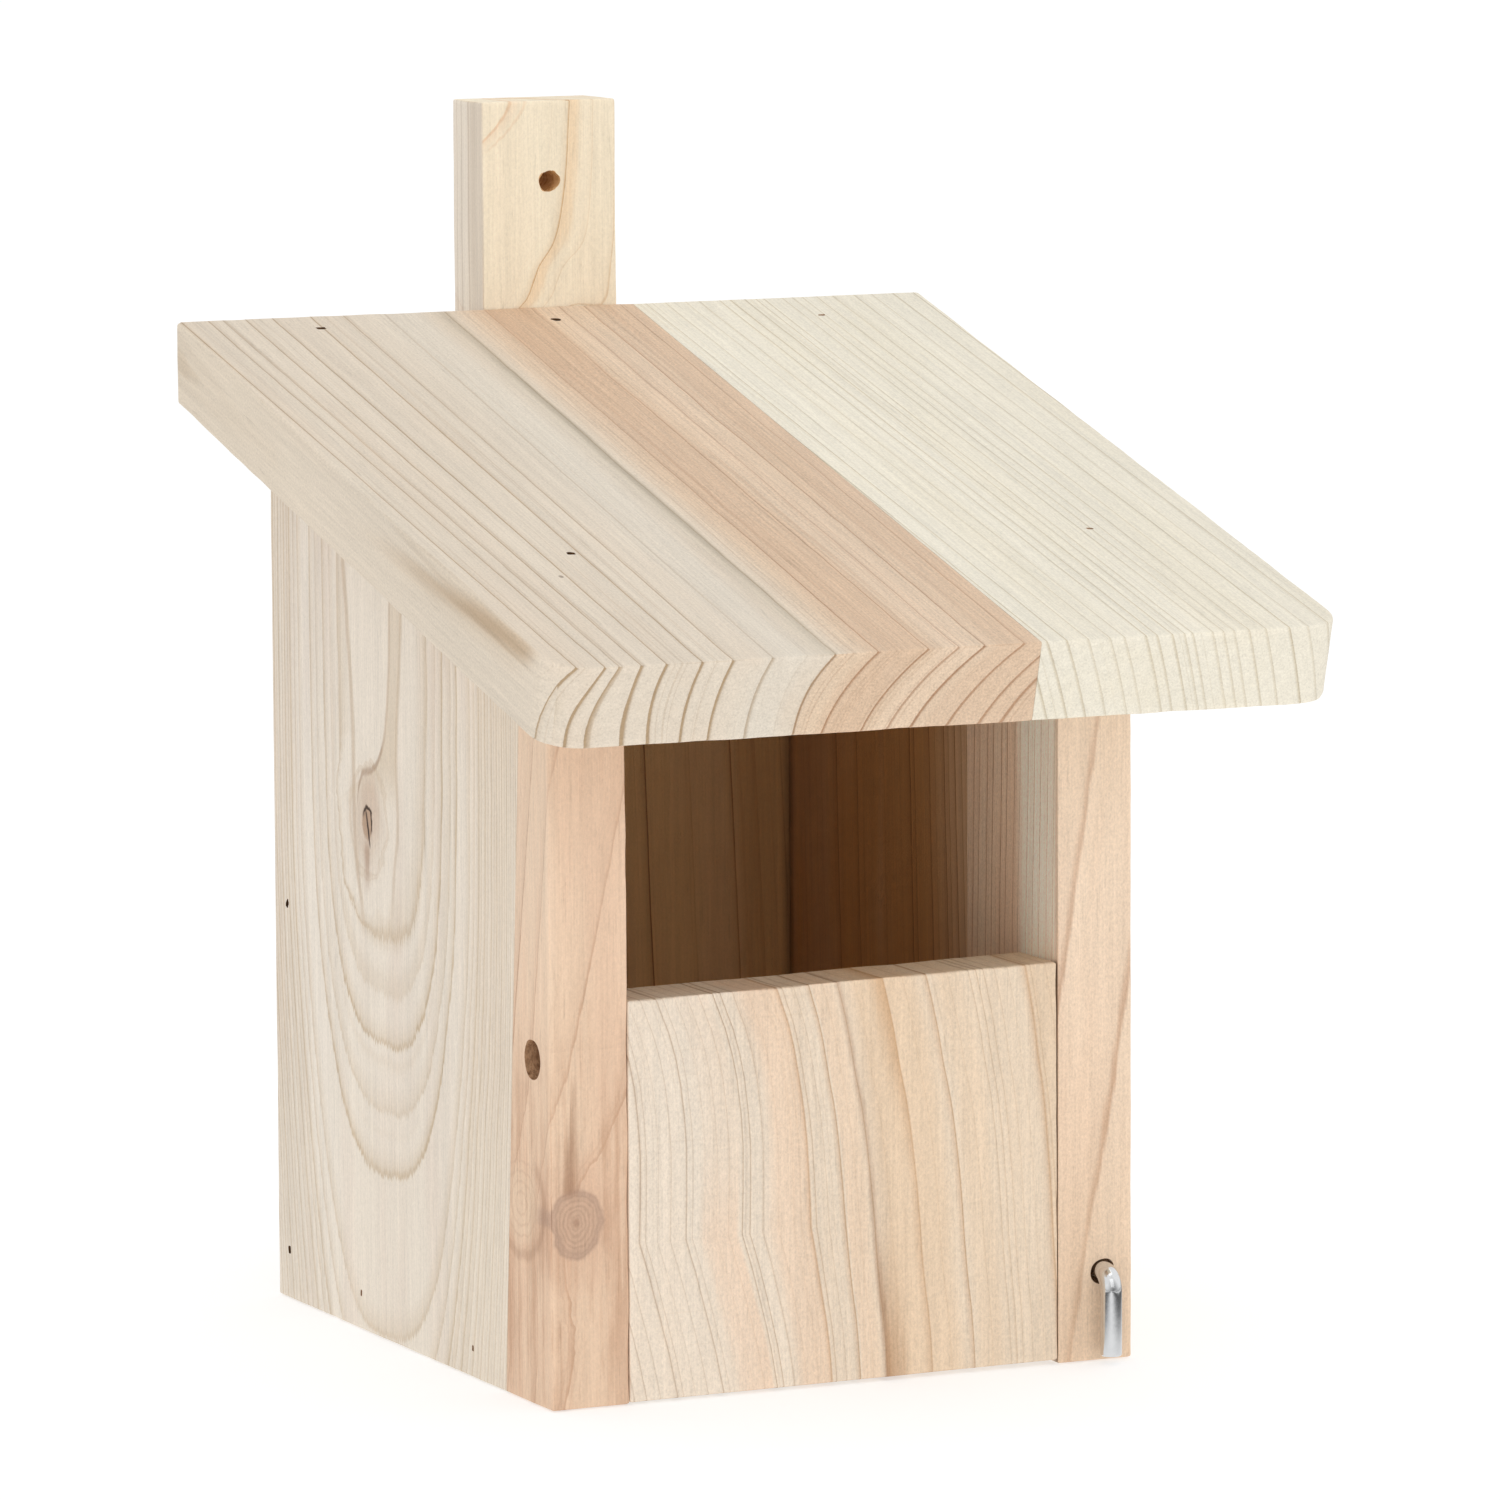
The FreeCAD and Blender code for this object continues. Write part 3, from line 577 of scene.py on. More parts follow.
roof_left = board("roof_left", roof_corners(-100.0, GLUE_X), (121.0, ROOF_TOP, ROOF_T),
                  {None: 0.9, (1, 1, 1): 0.07, (1, 1, 0): 0.07, (2, 1, 0): 0.07, (2, 1, 1): 0.07, (2, 0, 0): 0.0,
                   (1, 0, 1): 1.5, (0, 0, 0): 0.7, (0, 0, 1): 0.45},
                  seed=11, fine=(((0, 12, 1.0),), ((0, 12, 1.0),), ()), corner_round=[(2, 0, 0, 10.0)],
                  ragged={(0, 0, 0): 0.25}, grain=1)
carve(roof_left, [nail_hole(x, y, roof_top_z(y), "z", 5 + i) for i, (x, y) in enumerate(
    [ROOF_NAILS_REAR[0], ROOF_NAILS_REAR[1], ROOF_NAILS_FRONT[0]])])
roof_right = board("roof_right", roof_corners(GLUE_X, 100.0), (79.0, ROOF_TOP, ROOF_T),
                   {None: 0.9, (1, 0, 1): 0.07, (1, 0, 0): 0.07, (2, 0, 0): 0.07, (2, 0, 1): 0.07, (2, 1, 0): 0.0,
                    (0, 0, 0): 0.7, (0, 0, 1): 0.45},
                   seed=12, fine=(((67, 79, 1.0),), ((0, 12, 1.0),), ()), corner_round=[(2, 1, 0, 10.0)],
                   ragged={(0, 0, 0): 0.25}, grain=1)
carve(roof_right, [nail_hole(x, y, roof_top_z(y), "z", 15 + i, deep=0.62, wide=0.85, tall=0.5) for i, (x, y) in enumerate(
    [ROOF_NAILS_REAR[2], ROOF_NAILS_FRONT[1]])])


def rings_at(points, pith):
    return [math.hypot(p[0] - pith[0], p[1] - pith[1]) for p in points]


RL_RINGS = [9.7, 15.2, 23.5, 33.5, 40.0, 47.5, 60.0, 70.7, 86.6, 96.8, 104.6, 113.9, 120.4, 125.9, 129.5, 136.4, 146.5]


def rl_radius(t, q):
    """40 - x on the upper face; below it the lines lean to the left, most in the heart."""
    lean = t.curve(q["a"], [(-100, 0.02), (-98, 0.08), (-95.5, 0.15), (-89.5, 0.1), (-85.9, 0.04), (-80.4, -0.04), (-73.9, -0.01), (-64.6, 0.1),
                            (-56.8, 0.17), (-46.6, 0.28), (-41, 0.4), (-32, 0.64), (-22, 0.77), (-14, 0.84), (0, 0.92), (25, 0.9)],
                   -100, 25, -0.1, 1, "AUTO")
    bow = (t.step(-101.0, -94.0, q["a"]) * t.step(-28.0, -42.0, q["a"]) * 0.17 + t.step(9.0, 0.0, abs(q["a"] + 73.9)) * 0.16
           + t.step(-78.0, -86.0, q["a"]) * 0.24)
    deep = ROOF_T - q["b"]
    return 40.0 - q["a"] - lean * deep * (1.38 - deep * (0.38 / ROOF_T)) - bow * deep * (1.0 - deep * (1.0 / ROOF_T)) + q["l"] * 0.004


def rl_warp(t, q):
    # towards the left edge the rings lean over, and rise to the rear
    w = t.step(-35.0, -100.0, q["a"])
    return w * ((q["b"] - 10.0) * 0.25 - q["l"] * q["b"] * (0.0256 / ROOF_T))


def rl_heart(t, q):
    """Sharp on the ends; on the upper face the sapwood's cream runs on for some way past the edge."""
    edge = t.noise(q["l"] * 0.02, 5.0, q["a"] * 0.1, 2.0) * 2.0
    sharp = t.step(71.7, 69.2, q["r"] + edge)
    slow = t.step(72.5, 62.0, q["r"] + edge * 1.4)
    return sharp * q["ends"] + slow * (1.0 - q["ends"])


def rl_paint(t, q, c):
    # a narrow grey streak along the edge of the heart, browner bands inside it with a paler one between
    wav = t.noise(q["l"] * 0.012, 2.0, 0.0, 1.0) * 3.0
    fray = t.noise(q["l"] * 0.012, q["a"] * 0.35, 4.0, 2.0) * 4.0
    face = 1.0 - q["ends"] * 0.85
    c = t.mix(t.step(69.0, 71.0, q["r"]) * t.step(77.0, 71.5, q["r"] + wav) * face * 0.3, c, lin((202, 190, 168)))
    strong = t.step(20.0, 90.0, q["l"]) * t.step(250.0, 160.0, q["l"]) * 0.3 + 0.2
    c = t.mix(t.step(69.6, 70.6, q["r"] + fray * 0.3) * t.step(73.2, 70.8, q["r"] + wav * 0.5) * face * strong, c, lin((152, 139, 118)))
    c = t.mix(t.step(74.4, 79.2, q["r"] + wav) * t.step(93.0, 83.9, q["r"] + fray) * 0.36, c, lin((227, 221, 208)))
    warm = t.step(44.0, 50.0, q["r"] + fray) * t.step(64.5, 58.0, q["r"] + fray * 0.6) * (t.step(90.0, 230.0, q["l"]) * 0.16 + 0.36)
    c = t.mix(warm, c, lin((206, 168, 136)))
    c = t.mix(t.step(32.0, 37.0, q["r"] + fray) * t.step(46.0, 42.0, q["r"] + wav) * 0.3, c, lin((236, 210, 184)))
    c = t.mix(t.step(36.0, 27.0, q["r"] + fray) * 0.34, c, lin((210, 176, 147)))
    thin = t.noise(q["r"] * 0.75 + 7.0, 1.0, q["l"] * 0.003, 3.0, 0.65)
    c = t.mix(t.step(0.04, 0.2, thin) * q["heart"] * 0.34, c, lin((186, 147, 116)))
    c = t.mix(t.step(-0.06, -0.2, thin) * q["heart"] * 0.3, c, lin((238, 214, 188)))
    pit_l = q["l"] - ((ROOF_NAILS_FRONT[0][1] - ROOF_Y) * CA + (roof_top_z(ROOF_NAILS_FRONT[0][1]) - ROOF_Z) * SA - 14.0)
    pit_a = q["a"] - (ROOF_NAILS_FRONT[0][0] - 8.4)
    pit = t.step(0.75, 0.35, t.m("SQRT", pit_l * pit_l * 0.5 + pit_a * pit_a)) * t.step(ROOF_T - 1.0, ROOF_T - 0.5, q["b"])
    c = t.mix(pit * 0.6, c, lin((112, 90, 70)))
    wedge = t.step(130.5, 136.0, q["r"]) * t.step(136.8, 136.4, q["r"]) * t.step(ROOF_T - 4.0, ROOF_T - 13.0, q["b"]) * q["ends"]
    c = t.mix(wedge * 0.5, c, lin((196, 174, 142)))
    side = t.step(0.9, 0.2, q["a"] + 100.0)
    c = t.mix(side * (t.step(2.0, 5.0, q["l"]) * 0.3 + t.step(120.0, 190.0, q["l"]) * 0.4), c, lin((222, 208, 188)))
    # brown smear on the left face near the front, drawn out along the grain
    fog = t.noise(q["l"] * 0.02, q["b"] * 0.3, 2.0, 3.0, 0.6) * 7.0
    mid = abs(q["b"] - 19.2 + q["l"] * 0.076 + fog * 0.6)
    on_left = t.step(1.8, 0.5, q["a"] + 100.0)
    wide = t.step(8.5, 1.0, mid) * t.step(110.0, 30.0, q["l"]) * t.step(9.0, 24.0, q["l"]) * on_left
    c = t.mix(wide * 0.26, c, lin((196, 170, 136)))
    smear = t.step(3.6, 0.2, mid) * t.step(125.0, 34.0, q["l"]) * t.step(7.0, 17.0, q["l"]) * on_left
    return t.mix(smear * 0.62, c, lin((178, 148, 112)))


mat_roof_left = wood("wood_roof_left", UP_SLOPE, X, OUT_ROOF, ROOF_O, RL_RINGS, (0, 148), CREAM, CREAM_LATE, radius=rl_radius,
                     heart=PINK, heart_late=PINK_LATE, heart_mask=rl_heart, tint=(224, 204, 182), seed=1.3, wobble=0.3, wobble_len=200,
                     line=0.42, tail=1.8, line_mix=0.85, tail_mix=0.2, faint=0.24, warp=rl_warp, paint=rl_paint, grits=1.8,
                     heart_grits=0.55)

RR_PITH = (-181.0, -71.0)
RR_RINGS = rings_at([(x, ROOF_T) for x in (22.6, 27.5, 32.8, 38.4, 42, 47.6, 50.4, 54.4, 57.5, 59.5, 64.8, 67.5, 70.2, 74.2,
                                           78.5, 84.6, 89.4, 95.5)], RR_PITH)
mat_roof_right = wood("wood_roof_right", UP_SLOPE, X, OUT_ROOF, ROOF_O, RR_RINGS, (190, 310), PALE, PALE_LATE, RR_PITH, (-0.012, 0.0),
                      tint=(238, 228, 205), seed=4.1, wobble=0.35, wobble_len=220, line=0.36, tail=1.0, line_mix=0.75,
                      tail_mix=0.14, faint=0.22, end_lines=-0.7, grits=1.7,
                      paint=lambda t, q, c: t.mix(t.step(99.0, 99.9, q["a"]) * 0.5, c, lin(PALE)))


# ------------------------------------------------------------------ side panels
def side_corners(x0, x1, front_low, front_top, rear_low, rear_top):
    """front and rear are y at the ground and at the sloping top."""
    return [[[(x, front_low, 0.0), (x, front_top, top_z(front_top))],
             [(x, rear_low, 0.0), (x, rear_top, top_z(rear_top))]] for x in (x0, x1)]


G_LOW, G_TOP = YF + 26.6, YF + 15.0
left_rear = board("left_rear", side_corners(XL0, XL1, G_LOW, G_TOP, YB, YB), (19.5, 146.0, 210.0),
                  {None: 0.55, (2, 0, 0): 0.07, (2, 1, 0): 0.07, (0, 0, 0): 0.2, (0, 0, 1): 0.2}, seed=21)
left_front = board("left_front", side_corners(XL0, XL1, YF, YF, G_LOW, G_TOP), (19.5, 20.8, 177.0),
                   {None: 0.55, (2, 0, 1): 0.07, (2, 1, 1): 0.07, (0, 1, 0): 0.2, (0, 1, 1): 0.2, (2, 0, 0): 0.8,
                    (2, 1, 0): 0.6}, seed=22, step=1.6, ragged={(2, 0, 0): 0.25, (2, 1, 0): 0.35})
GR = YF + 48.0
right_rear = board("right_rear", side_corners(XR0, XR1, GR, GR, YB, YB), (19.5, 119.0, 205.0),
                   {None: 0.55, (2, 0, 0): 0.07, (2, 1, 0): 0.07, (0, 0, 0): 0.2, (0, 0, 1): 0.2}, seed=23)
right_front = board("right_front", side_corners(XR0, XR1, YF, YF, GR, GR), (19.5, 48.0, 182.0),
                    {None: 0.55, (2, 0, 1): 0.07, (2, 1, 1): 0.07, (0, 1, 0): 0.2, (0, 1, 1): 0.2, (2, 0, 0): 0.16,
                     (2, 1, 0): 0.8}, seed=24, step=1.6, ragged={(2, 0, 0): 0.4})
LEFT_NAILS = [("left_back_nails", 95.55, 98.1), ("left_back_nails", 96.45, 12.0), ("left_floor_nails", 50.95, 8.8),
              ("left_floor_nails", -17.35, 6.8)]
RIGHT_NAILS = [("right_back_nails", 94.85, 102.0), ("right_back_nails", 95.25, 14.0), ("right_floor_nails", 48.45, 9.2),
               ("right_floor_nails", -25.05, 8.0)]
carve(left_rear, [nail_hole(XL0, y, z, "-x", 30 + i, wide=0.85, tall=1.1) for i, (_, y, z) in enumerate(LEFT_NAILS[:2])])
carve(left_rear, [nail_hole(XL0, y, z, "-x", 32 + i, deep=0.6, wide=0.5, tall=0.75) for i, (_, y, z) in enumerate(LEFT_NAILS[2:])])
carve(right_rear, [nail_hole(XR1, y, z, "x", 40 + i, wide=0.85, tall=1.1) for i, (_, y, z) in enumerate(RIGHT_NAILS[:3])])


def bore(centre, n, radius, lo, hi, seed=0, rough=0.0, count=40):
    n = np.array(n, float)
    u = np.array((0, 0, 1.0)) if abs(n[2]) < 0.5 else np.array((1.0, 0, 0))
    return prism(round_outline(radius, radius, seed, rough, count), centre, u, np.cross(n, u), n, lo, hi)


carve(left_front, [bore((XL0, PIVOT_Y, PIVOT_Z), (-1, 0, 0), 4.75, -9.0, 2.0, 3, 0.02)])
carve(left_front, [bore((XL0, PIVOT_Y, PIVOT_Z), (-1, 0, 0), 2.15, -24.0, -8.5)])
carve(right_front, [bore((XR1, PIVOT_Y, PIVOT_Z), (1, 0, 0), 4.75, -9.0, 2.0, 4, 0.02),
                    bore((HOOK_X, YF, HOOK_Z), (0, -1, 0), 3.05, -3.0, 2.0, 9, 0.05),
                    nail_hole(XR1, RIGHT_NAILS[3][1], RIGHT_NAILS[3][2], "x", 44, wide=0.85, tall=1.1)])
carve(right_front, [bore((XR1, PIVOT_Y, PIVOT_Z), (1, 0, 0), 2.15, -24.0, -8.5),
                    bore((HOOK_X, YF, HOOK_Z), (0, -1, 0), 2.66, -30.0, -2.5)])

# left rear stave: flat sawn, the lines close downward in arches below a small dead knot
LR_RINGS = [-17, -14, -11, -8, -5, -2, 1.95, 2.85, 3.95, 5.5, 6.9, 10.95, 12.6, 14.5, 15.6, 17.2, 18.6, 20.4, 22.0, 23.2, 25.0, 26.4,
            28.0, 29.3, 31.0, 32.4, 34.4, 36, 38, 40.5, 43, 45, 47.5, 50]
LR_POWER = [0.1, 0.1, 0.1, 0.1, 0.1, 0.1, 0.62, 0.3, 0.92, 0.45, 1.0, 0.66, 0.7, 1.35, 0.7, 1.35, 0.75, 1.4, 0.75, 1.4, 0.75, 1.4,
            0.75, 1.4, 0.75, 1.4, 0.75, 1.4, 0.9, 1.4, 0.9, 1.3, 0.9, 1.3]
LR_KNOT = (XL0, 107.6 + YF, 124.0)


def lr_radius(t, q):
    z = t.curve(q["l"], [(0, 0), (60, 59), (85, 82), (100, 92.5), (112, 98.5), (130, 102.5), (160, 104.5), (230, 106)], 0, 230, 0, 110, "AUTO")
    y = abs(q["a"] - (97.5 + YF)) + 0.001
    q["spread"] = t.step(16.0, 60.0, y) * 2.0 + 1.0
    return z * -0.1 + t.m("POWER", y, 3.0) * 7.1e-5 - (q["b"] - XL0) * 0.9 + 11.0


def lr_warp(t, q):
    d, dl, dc = knot(t, q, LR_KNOT, X, Z, 1.2)
    q["k"], q["kl"], q["kc"] = d, dl, dc
    return t.step(22.0, 3.0, d) * -5.4


def lr_paint(t, q, c):
    near = t.step(XL0 + 9.0, XL0 + 2.0, q["b"])
    streaky = t.noise(q["kl"] * 0.05, q["kc"] * 0.8, 3.0, 3.0)
    # lines that come down past the knot: a thin one behind it, a broad tan one before it
    behind = q["kc"] - t.curve(q["kl"], [(-45, 4), (-30, -1.5), (-21, -3.6), (-7, -7.4), (24, -8.4), (45, -11), (64, -14), (110, -18)], -45, 110, -20, 10, "AUTO")
    c = t.mix(t.step(1.7, 0.3, abs(behind + streaky * 1.5)) * t.step(-30.0, -16.0, q["kl"]) * 0.5 * near, c, lin((190, 164, 134)))
    before = q["kc"] - t.curve(q["kl"], [(-30, 14), (-10, 16.4), (0, 18.6), (18, 18.4), (40, 20.8), (56, 22.5), (80, 24), (110, 26)], -45, 110, 0, 30, "AUTO")
    c = t.mix(t.step(1.4, 0.2, abs(before + streaky * 1.5)) * t.step(-26.0, -10.0, q["kl"]) * 0.4 * near, c, lin((190, 164, 134)))
    # its inner edge comes down beside it and turns back over the knot
    edge = t.curve(q["kl"], [(10, -4), (12, 0.5), (13.6, 4.6), (16, 7.8), (20, 10.4), (27, 12.6), (38, 14.2), (55, 15), (80, 17.5), (110, 20)], 10, 110, -5, 25, "AUTO")
    inner = q["kc"] - edge + streaky * 1.6
    band = t.step(-0.5, 0.5, inner) * t.step(0.4, -0.4, before) * t.step(1.0, 17.0, q["kl"]) * t.step(100.0, 55.0, q["kl"])
    c = t.mix(band * (t.step(40.0, 15.0, q["kl"]) * 0.12 + 0.38) * near, c, lin((206, 184, 154)))
    c = t.mix(t.step(1.1, 0.2, abs(inner)) * t.step(14.0, 17.0, q["kl"]) * t.step(90.0, 40.0, q["kl"]) * 0.42 * near, c, lin((184, 156, 126)))
    c = t.mix(t.step(2.0, -22.0, q["a"]) * 0.36, c, lin((241, 229, 212)))
    c = t.mix(t.step(80.0, 25.0, q["l"]) * 0.24, c, lin((241, 230, 213)))
    c = t.mix(t.step(48.0, 80.0, q["a"]) * 0.2, c, lin((234, 228, 220)))
    c = t.mix(t.step(15.0, 4.0, q["k"] + streaky * 9.0) * 0.5 * near, c, lin((206, 182, 160)))
    lid = q["kl"] - t.curve(q["kc"], [(-7, 0), (-6, 5), (-4.6, 9.2), (-2.5, 11.6), (0, 12.4), (3, 13.0), (6.2, 14.8), (9, 18.0), (11, 22.0)], -7, 11, 0, 25, "AUTO")
    arc = t.step(1.5, 0.2, abs(lid + streaky * 1.6)) * t.step(-7.4, -5.4, q["kc"]) * t.step(11.2, 8.8, q["kc"])
    c = t.mix(arc * 0.62 * near, c, lin((166, 134, 106)))
    u, v = (q["kc"] - 1.5) * (1 / 7.0), (q["kl"] - 3.0) * (1 / 9.5)
    over = t.m("SQRT", u * u + v * v) + streaky * 0.16
    c = t.mix(t.step(1.1, 0.5, over) * t.step(-9.0, 2.0, q["kl"]) * 0.34 * near, c, lin((204, 176, 154)))
    # the dead knot: dark bark line over a small oval, a crack, and a brown tail below
    oval = t.m("SQRT", q["kc"] * q["kc"] * 1.7 + q["kl"] * q["kl"]) + t.noise(q["kl"] * 0.5, q["kc"] * 0.5, 1.0, 2.0) * 2.4
    c = t.mix(t.step(5.0, 3.4, oval) * 0.7 * near, c, lin((176, 140, 110)))
    ring = t.step(0.9, 0.25, abs(oval - 3.7)) * t.step(-2.0, 1.5, q["kl"] + q["kc"] * 0.8)
    c = t.mix(ring * 0.92 * near, c, lin((54, 36, 26)))
    crack = t.step(0.8, 0.2, abs(q["kc"] + q["kl"] * 0.3 + streaky * 2.0)) * t.step(5.0, 3.4, abs(q["kl"] + 1.4))
    c = t.mix(crack * 0.92 * near, c, lin((52, 34, 24)))
    tail = t.step(3.0, 0.4, abs(q["kc"] + 0.4 + streaky * 4.0)) * t.step(-19.0, -9.0, q["kl"]) * t.step(-3.0, -7.0, q["kl"])
    return t.mix(tail * 0.55 * near, c, lin((168, 130, 104)))


mat_left_rear = wood("wood_left_rear", Z, Y, X, (0, 0, 0), LR_RINGS, (-17, 50), (234, 223, 208), (200, 176, 144), radius=lr_radius,
                     tint=(227, 211, 196), tint_mix=0.6, seed=7.7, wobble=0.12, wobble_len=90, fibre=0.28, fibre_f=1.6, line=0.18,
                     tail=0.72, line_mix=0.5, tail_mix=0.5, lip=0.05, faint=0.3, warp=lr_warp, paint=lr_paint, weights=LR_POWER)

# left front stave: pink heartwood, rings leaning across the arris, a round knot on the front edge
LF_C = (-66.0, -50.0)
LF_E = (0.7071, -0.7071)
LF_PITH = (LF_C[0] - 70 * LF_E[0] - 0.1 * 100, LF_C[1] - 70 * LF_E[1] + 0.1 * 100)
LF_RINGS = [38, 46, 53, 60.2, 68.4, 80, 90, 101]
LF_KNOT = (-69.6, YF, 43.5)


def lf_warp(t, q):
    d, dl, dc = knot(t, q, LF_KNOT, Y, Z, 1.3)
    q["k"], q["kl"], q["kc"] = d, dl, dc
    return t.step(26.0, 3.0, d) * 5.0


def lf_paint(t, q, c):
    near = t.step(YF + 13.0, YF + 4.0, q["b"])
    streaky = t.noise(q["a"] * 0.35, q["b"] * 0.35, q["l"] * 0.03, 3.0, 0.6)
    long = t.noise(q["a"] * 0.6 + 4.0, q["b"] * 0.6, q["l"] * 0.014, 3.0, 0.6)
    # redder drifts of the heart, and a brown cloud over the lower half that follows the fibres round the knot
    c = t.mix(t.step(0.0, 0.22, streaky) * 0.3, c, lin((226, 186, 156)))
    z = q["l"]
    cloud = t.step(100.0, 62.0, z + streaky * 40.0) * t.step(-30.0, 22.0, z + streaky * 30.0)
    mott = t.noise(q["a"] * 0.12, q["b"] * 0.12, z * 0.03 + 5.0, 3.0, 0.65)
    wisp = t.noise(q["a"] * 0.9 + 2.0, q["b"] * 0.9, z * 0.05 + 1.0, 3.0, 0.7)
    c = t.mix(cloud * q["late"] * 0.5, c, lin((232, 200, 172)))
    c = t.mix(cloud * (t.step(-0.12, 0.16, long * 0.7 + mott * 0.9) * 0.56 + 0.12), c, lin((200, 160, 130)))
    c = t.mix(cloud * t.step(0.08, 0.24, wisp + mott * 0.4) * 0.34, c, lin((166, 124, 96)))
    # painted highlight: the upper part of the left face lighter, towards a paler cream
    lit = t.step(XL0 + 3.0, XL0 + 0.5, q["a"]) * t.step(70.0, 130.0, z)
    c = t.mix(lit * 0.35, c, lin((232, 211, 188)))
    c = t.mix(t.step(YF + 2.0, YF + 0.4, q["b"]) * t.step(92.0, 125.0, z) * 0.36, c, lin((244, 213, 186)))
    c = t.mix(t.step(17.0, 6.0, q["k"]) * 0.35 * near, c, lin((206, 164, 136)))
    # the round knot: fine rings, a grey rim and a small dark heart
    k = t.step(7.0, 5.9, q["k"]) * near
    wob = t.noise(q["kl"] * 0.4, q["kc"] * 0.4, 0.0, 2.0)
    swirl = t.m("SINE", q["k"] * 6.4 + wob * 7.0)
    inner = t.mix(t.step(-0.7, 1.0, swirl) * t.step(0.4, 1.6, q["k"]) * 0.5, lin((202, 168, 143)), lin((174, 141, 120)))
    inner = t.mix(t.step(4.0, 5.8, q["k"] + wob * 1.5) * 0.5, inner, lin((174, 144, 126)))
    inner = t.mix(t.step(1.3, 0.3, q["k"]) * 0.6, inner, lin((150, 112, 90)))
    c = t.mix(k * 0.82, c, inner)
    # brown streak that widens down to the knot
    wide = (30.0 - q["kl"]) * 0.09 + 0.9
    smear = t.step(1.0, 0.1, abs(q["kc"] + 2.6 + q["kl"] * -0.06 + long * 5.0) / wide) * t.step(5.0, 8.0, q["kl"]) * t.step(46.0, 12.0, q["kl"]) * near
    c = t.mix(smear * 0.66, c, lin((160, 120, 92)))
    # pale lobe of the knot on the left face
    arc = t.dot(q["P"], Z, (0, 0, 46.0))
    dy = q["b"] - (YF + 17.0)
    far = t.m("SQRT", arc * arc + dy * dy * 0.9) + streaky * 3.0
    face = t.step(XL0 + 4.0, XL0 + 0.5, q["a"])
    c = t.mix(t.step(11.0, 6.5, far) * face * 0.4, c, lin((230, 206, 178)))
    grain = t.step(0.3, 1.0, t.m("SINE", far * 2.6)) * t.step(11.5, 9.5, far)
    c = t.mix(grain * face * 0.22, c, lin((190, 152, 124)))
    return t.mix(t.step(2.0, 0.4, abs(far - 12.2)) * face * t.step(7.0, -3.0, arc + dy) * 0.35, c, lin((166, 126, 100)))


mat_left_front = wood("wood_left_front", Z, X, Y, (0, 0, 0), LF_RINGS, (20, 140), (236, 207, 179), (184, 138, 106), LF_PITH, (0.1, -0.1),
                      tint=(232, 196, 168), tint_mix=0.5, seed=2.2, wobble=0.35, wobble_len=80, fibre=0.3, line=0.5,
                      tail=3.5, line_mix=0.74, tail_mix=0.3, faint=0.16, cloud=0.07, warp=lf_warp, paint=lf_paint)

# right panel: the rear stave is brown heart on its inner face, darkened there in part as painted shade of the inside;
# the front stave pink with a pale strip inside near the front
RRR_LINES = {95: 0.6, 76: 0.3, 56.7: 0.9, 45.5: 0.7, 30: 0.25, 15: 0.8, 13: 0.6, 4.5: 0.8, 1.5: 0.4, -3.7: 1.0, -6.0: 0.6, -9.5: 1.3, -13: 0.6}


def rrr_radius(t, q):
    return 110.0 - q["a"] + (q["b"] - XR0) * 0.32 + (q["l"] - 130.0) * 0.045


def rrr_heart_and_shade(t, q):
    # brown only within 9 mm of the inner face: heartwood colour and, in part, painted shade of the inside
    edge = t.step(-18.0, 10.0, q["a"] + t.noise(q["l"] * 0.01, 0.0, 1.0) * 20.0)
    return t.step(XR0 + 9.0, XR0 + 2.0, q["b"]) * (edge * 0.5 + 0.5) * t.step(87.5, 84.2, q["a"])


def rrr_paint(t, q, c):
    drifts = t.noise(q["a"] * 0.06 + 5.5, q["b"] * 0.06 + 2.0, q["l"] * 0.009, 2.0, 0.6)
    c = t.mix(t.step(-0.08, 0.2, drifts) * q["heart"] * 0.4, c, lin((184, 132, 82)))
    # painted shade: the inner face dark brown towards the corner with the back panel
    return t.mix(t.step(80.5, 83.9, q["a"]) * q["heart"] * 0.5, c, lin((110, 72, 42)))


mat_right_rear = wood("wood_right_rear", Z, Y, X, (0, 0, 0), [110.0 - y for y in RRR_LINES], (5, 135), (236, 211, 182), (184, 142, 106),
                      radius=rrr_radius, heart=(202, 151, 98), heart_late=(140, 90, 50), heart_mask=rrr_heart_and_shade,
                      tint=(232, 202, 170), tint_mix=0.4, seed=5.5, wobble=0.4, wobble_len=110, line=0.5, tail=3.2, tail_mix=0.34, faint=0.16,
                      weights=list(RRR_LINES.values()), paint=rrr_paint)


RF_RINGS = [58.6, 61.4, 65.7, 68.4, 72.6, 75.4, 79.8, 82.5, 86.4, 89.1, 93.4, 96.6, 99.9, 103.6, 106.9, 110.35, 113.8, 117.25]


def rf_radius(t, q):
    return 40.0 - q["b"] * 0.98 + q["a"] * 0.2 - q["l"] * 0.033


def rf_sap(t, q):
    inner = t.step(XR0 + 2.4, XR0 + 0.6, q["a"])
    return inner * t.step(-40.0, -45.0, q["b"]) * t.step(YF + 0.4, YF + 1.8, q["b"])


